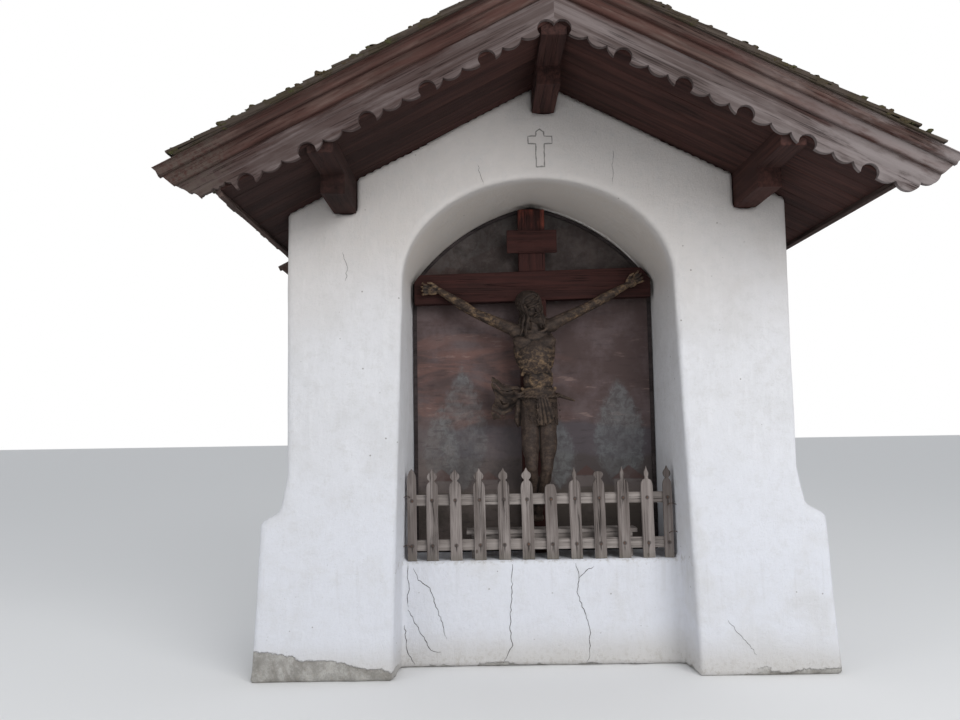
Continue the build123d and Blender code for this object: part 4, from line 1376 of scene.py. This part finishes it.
draped(cloth, 260, 24, 0.009, wrapped)
draped(cloth, 70, 24, 0.009, front_fall)
draped(cloth, 90, 90, 0.018, flying)
lump(cloth, at(-0.168, 0.02, -0.718), (0.066, 0.018, 0.07))
for phase in (0.0, pi):
    belt = []
    for step in range(61):
        turn = radians(-150 + 5 * step)
        twist = 14.0 * turn + phase
        up = -0.703 - 0.014 * cos(turn) + 0.0045 * sin(twist)
        belt.append(on_hips(turn, up, 0.013 + 0.0045 * cos(twist)))
    strand(cloth, belt, [0.0062] * len(belt), sides=8)
knot = at(sway - 0.112, 0.1, -0.705)
lump(cloth, knot, (0.026, 0.024, 0.022))
for bend in (-1, 1):
    loop = [
        knot + Vector((0.012, -0.016, 0.018 * bend)), knot + Vector((-0.016, -0.024, 0.006 * bend)),
        knot + Vector((-0.042, -0.006, 0.026 * bend)),
    ]
    curved(cloth, loop, [0.009, 0.012, 0.01])
fall = [
    at(-0.106, 0.088, -0.718), at(-0.112, 0.082, -0.79), at(-0.118, 0.078, -0.85), at(-0.112, 0.07, -0.888),
]
curved(cloth, fall, [0.014, 0.017, 0.018, 0.012])
spare = [
    on_hips(1.3, -0.706, 0.01), at(0.168, 0.094, -0.716), at(0.212, 0.074, -0.73), at(0.246, 0.06, -0.742),
]
curved(cloth, spare, [0.013, 0.012, 0.01, 0.005])
figure_cloth = one_skin(mesh_of(cloth, "figure_cloth"), 0.0033, 3)
mark_relief(figure_cloth, 14)

# The head is drawn upright about its own middle, then bowed, turned and leant to one side.
head = bmesh.new()
pose = (
    Matrix.Translation(at(-0.022, 0.092, -0.15)) @ turned(-28, "Y") @ turned(14, "Z") @ turned(22, "X")
)


def on_head(across, out, up):
    """A point of the bowed head: across, out from its middle and up."""
    return pose @ Vector((across, -out, up))


def bulge(centre, radii):
    """An oval swelling that follows the tilt of the head."""
    lump(head, on_head(*centre), radii, pose.to_3x3().to_4x4())


def tress(points, radii, steps=4):
    """A smooth strand through points of the head."""
    curved(head, [on_head(*point) for point in points], radii, steps)


bulge((0, -0.01, 0.035), (0.062, 0.078, 0.064))
bulge((0, 0.026, -0.012), (0.048, 0.045, 0.068))
bulge((0, 0.034, -0.058), (0.036, 0.035, 0.03))
bulge((0, 0.046, 0.038), (0.043, 0.026, 0.03))
strand(head, [on_head(0, -0.01, -0.03), at(-0.002, 0.074, -0.235)], [0.042, 0.042])
lump(head, at(-0.046, 0.086, -0.238), (0.036, 0.026, 0.072))
brow = [
    (-0.04, 0.055, 0.012), (-0.021, 0.067, 0.018), (0, 0.07, 0.016),
    (0.021, 0.067, 0.018), (0.04, 0.055, 0.012),
]
tress(brow, [0.005, 0.0062, 0.0058, 0.0062, 0.005])
bulge((0, 0.036, 0.046), (0.048, 0.034, 0.036))
nose = [(0, 0.071, 0.016), (0, 0.081, -0.004), (0, 0.0905, -0.023), (0, 0.083, -0.03)]
tress(nose, [0.0052, 0.0064, 0.008, 0.005])
for side in (-1, 1):
    bulge((side * 0.0095, 0.079, -0.027), (0.0055, 0.0075, 0.0052))
    bulge((side * 0.021, 0.0595, 0.002), (0.0122, 0.0102, 0.0088))
    lid = [
        (side * 0.0095, 0.065, -0.001), (side * 0.021, 0.07, -0.0045), (side * 0.0325, 0.0625, -0.001),
    ]
    tress(lid, [0.0022, 0.0028, 0.0022])
    bulge((side * 0.031, 0.045, -0.022), (0.019, 0.018, 0.022))
    whisker = [
        (0, 0.0785, -0.0385), (side * 0.012, 0.0775, -0.0405),
        (side * 0.024, 0.069, -0.047), (side * 0.033, 0.057, -0.056),
    ]
    tress(whisker, [0.0042, 0.0054, 0.0046, 0.0028])
    for lock in range(7):
        beard = [
            (side * (0.047 - 0.0065 * lock), 0.026 + 0.0072 * lock, -0.036 - 0.006 * lock),
            (side * (0.043 - 0.0062 * lock), 0.04 + 0.0058 * lock, -0.072 - 0.005 * lock),
            (side * (0.022 - 0.0022 * lock), 0.05 + 0.004 * lock, -0.104 - 0.005 * lock),
        ]
        tress(beard, [0.0075, 0.0078, 0.0038], steps=3)
    for lock in range(13):
        turn = radians(50 + 10.5 * lock)
        crown = radians(42 - 9 * lock)
        wave = 0.0065 * sin(2.1 * lock)
        high = [
            on_head(side * 0.004, -0.01 + 0.08 * sin(crown), 0.036 + 0.066 * cos(crown)),
            on_head(side * 0.056 * sin(turn), -0.01 + 0.07 * cos(turn), 0.074),
            on_head(side * (0.067 * sin(turn) + wave), -0.01 + 0.084 * cos(turn), 0.024),
            on_head(side * (0.063 * sin(turn) - wave), -0.012 + 0.076 * cos(turn), -0.034),
        ]
        heavy = side < 0 and lock < 7
        hang = high[-1] + Vector((side * 0.006 + wave, -0.004, -0.044))
        reach = (0.078 if heavy else 0.05) + 0.012 * sin(1.7 * lock)
        bend = hang + Vector((side * 0.01 - 1.4 * wave, -0.007, -0.5 * reach))
        end = hang + Vector((side * 0.012 + wave, -0.012 if lock < 6 else 0.004, -reach))
        radii = [0.007, 0.009, 0.01, 0.0104, 0.0104, 0.0088, 0.005]
        curved(head, [*high, hang, bend, end], radii, steps=3)
mouth = [
    (-0.0135, 0.071, -0.049), (-0.004, 0.0775, -0.047), (0.004, 0.0775, -0.047), (0.0135, 0.071, -0.049),
]
tress(mouth, [0.0026, 0.0038, 0.0038, 0.0026])
bulge((0, 0.0745, -0.0545), (0.0105, 0.0062, 0.0044))
bulge((0, 0.062, -0.086), (0.019, 0.017, 0.022))
for phase in (0.0, pi):
    ring = []
    for step in range(33):
        turn = 2 * pi * step / 32
        twist = 5 * turn + phase
        wide = 1.0 + 0.07 * cos(twist)
        out = -0.009 + 0.087 * wide * cos(turn)
        ring.append(on_head(0.069 * wide * sin(turn), out, 0.05 + 0.0055 * sin(twist)))
    strand(head, ring, [0.0052] * len(ring), sides=8)
for number in range(15):
    turn = 2 * pi * (number + 0.3) / 15
    start = on_head(0.07 * sin(turn), -0.009 + 0.088 * cos(turn), 0.05)
    aside = turn + 0.12
    tip = on_head(0.086 * sin(aside), -0.009 + 0.104 * cos(aside), 0.056 + 0.008 * sin(3 * number))
    strand(head, [start, tip], [0.0042, 0.0016], sides=6)
figure_head = one_skin(mesh_of(head, "figure_head"), 0.0022, 2)
mark_relief(figure_head, 12)


def old_carving(name, amount, bright_zone=None, shade=1.0):
    """Dark aged wood with worn ochre on the raised parts and soot in the hollows."""
    paint = Paint(name, roughness=0.62, specular=0.12)
    place = paint.place()
    raised = paint.attribute("raised", output=2)
    patch = paint.noise(place, (20.0, 30.0, 32.0), detail=9.0, roughness=0.8)
    fine = paint.noise(paint.stretched(place, (1.0, 1.0, 0.35)), 170.0, detail=3.0)
    ridge = raised.rise(0.0003, 0.0022)
    hollow = raised.rise(0.0, -0.001)
    worn = (patch + ridge * 0.1 + fine * 0.14).rise(0.53, 0.77) * amount
    if bright_zone is not None:
        worn = worn * bright_zone(*paint.axes())
    colour = paint.coats(
        toned(shade, (0.024, 0.017, 0.014)),
        (patch.rise(0.35, 0.65), toned(shade, (0.05, 0.036, 0.03))),
        (worn, (0.2, 0.13, 0.072)),
        (ridge * 0.22, toned(shade, (0.11, 0.08, 0.062))),
        (hollow * 0.8, (0.01, 0.008, 0.007)),
    )
    return paint.finish(colour, fine * 0.5 + patch * 0.5, depth=0.0015)


def forearms_and_ribs(x, _, z):
    """Where the ochre is brightest."""
    aside = (x - figure_x).size()
    ribs = (z - (beam_middle - 0.555)).size().rise(0.17, 0.08) * aside.rise(0.2, 0.15)
    return (aside.rise(0.15, 0.3) * 0.95 + ribs + 0.15).clamped()


carved_body = old_carving("carved_body", 0.95, forearms_and_ribs)
carved_cloth = old_carving("carved_cloth", 0.2, shade=0.85)
carved_head = old_carving("carved_head", 0.1, shade=0.72)
limbs = ["figure_torso", "figure_left_arm", "figure_right_arm", "figure_legs"]
keep_piece("figure_body", figure_body, carved_body, limbs, smooth=True)
keep_piece("figure_drapery", figure_cloth, carved_cloth, ["figure_loincloth"], smooth=True)
keep_piece("figure_bowed_head", figure_head, carved_head, ["figure_head"], smooth=True)

nails = bmesh.new()
for side, root, elbow, wrist, rise_angle in arm_joints:
    palm = wrist + pointing(side, rise_angle) * 0.042 + Vector((0, -0.015, 0))
    add_stud(nails, palm, 0.009, 0.004, 0.008, 8)
instep = foot_places[1][1].lerp(foot_places[1][2], 0.5) + Vector((0, -0.04, 0))
add_stud(nails, instep, 0.009, 0.004, 0.01, 8)
keep_shape("figure_nails", nails, iron)


# Floor, light and camera. A plain pale floor, soft light from the front and right, and
# the camera at eye height a little left of the middle, turned up slightly.
floor_mesh = bpy.data.meshes.new("floor")
floor_shape = bmesh.new()
bmesh.ops.create_grid(floor_shape, x_segments=1, y_segments=1, size=60.0)
floor_shape.to_mesh(floor_mesh)
floor_shape.free()
floor = placed("floor", floor_mesh)
floor_paint = Paint("pale_floor", roughness=0.9)
floor_paint.shader.inputs["Base Color"].default_value = (0.78, 0.78, 0.78, 1.0)
painted(floor_mesh, floor_paint.material)

world = bpy.data.worlds.new("studio")
bpy.context.scene.world = world
world.use_nodes = True
studio = Nodes(world.node_tree)
sky = studio.nodes["Background"]
sky.inputs["Color"].default_value = (0.93, 0.96, 1.0, 1.0)
sky.inputs["Strength"].default_value = 0.62
white = studio.node("ShaderNodeBackground", inputs={"Color": (1.0, 1.0, 1.0, 1.0), "Strength": 1.0})
rays = studio.node("ShaderNodeLightPath").socket.node.outputs
camera_ray, glossy_ray, clear_ray = [
    Field(studio, rays["Is " + kind + " Ray"]) for kind in ("Camera", "Glossy", "Transmission")
]
seen = camera_ray.math("MAXIMUM", glossy_ray).math("MAXIMUM", clear_ray)
blend = studio.node("ShaderNodeMixShader", inputs={0: seen, 1: Field(studio, sky.outputs[0]), 2: white})
studio.links.new(blend.socket, studio.nodes["World Output"].inputs["Surface"])


def soft_light(name, where, towards, size, energy):
    lamp = bpy.data.lights.new(name, "AREA")
    lamp.shape = "SQUARE"
    lamp.size = size
    lamp.energy = energy
    made = placed(name, lamp)
    made.location = where
    made.rotation_euler = (Vector(towards) - Vector(where)).to_track_quat("-Z", "Y").to_euler()


soft_light("front_light", (4.2, -7.8, 5.4), (0, 0, 1.5), 6.0, 570.0)
soft_light("side_light", (-7.0, -5.0, 4.0), (0, 0, 1.5), 5.0, 130.0)

camera_place = Vector((-0.393, -4.9875, 1.411))
focal_pixels = 800.0
image_width, image_height = 960.0, 720.0
horizon_row = 425.0
camera_roll = radians(0.9)
camera_data = bpy.data.cameras.new("camera")
camera_data.sensor_width = 36.0
camera_data.lens = 36.0 * focal_pixels / image_width
camera = placed("camera", camera_data)
rise = atan((horizon_row - image_height / 2) / focal_pixels)
turn = Matrix.Rotation(radians(90) + rise, 4, "X") @ Matrix.Rotation(-camera_roll, 4, "Z")
camera.matrix_world = Matrix.Translation(camera_place) @ turn
bpy.context.scene.camera = camera
bpy.context.scene.view_settings.view_transform = "Standard"
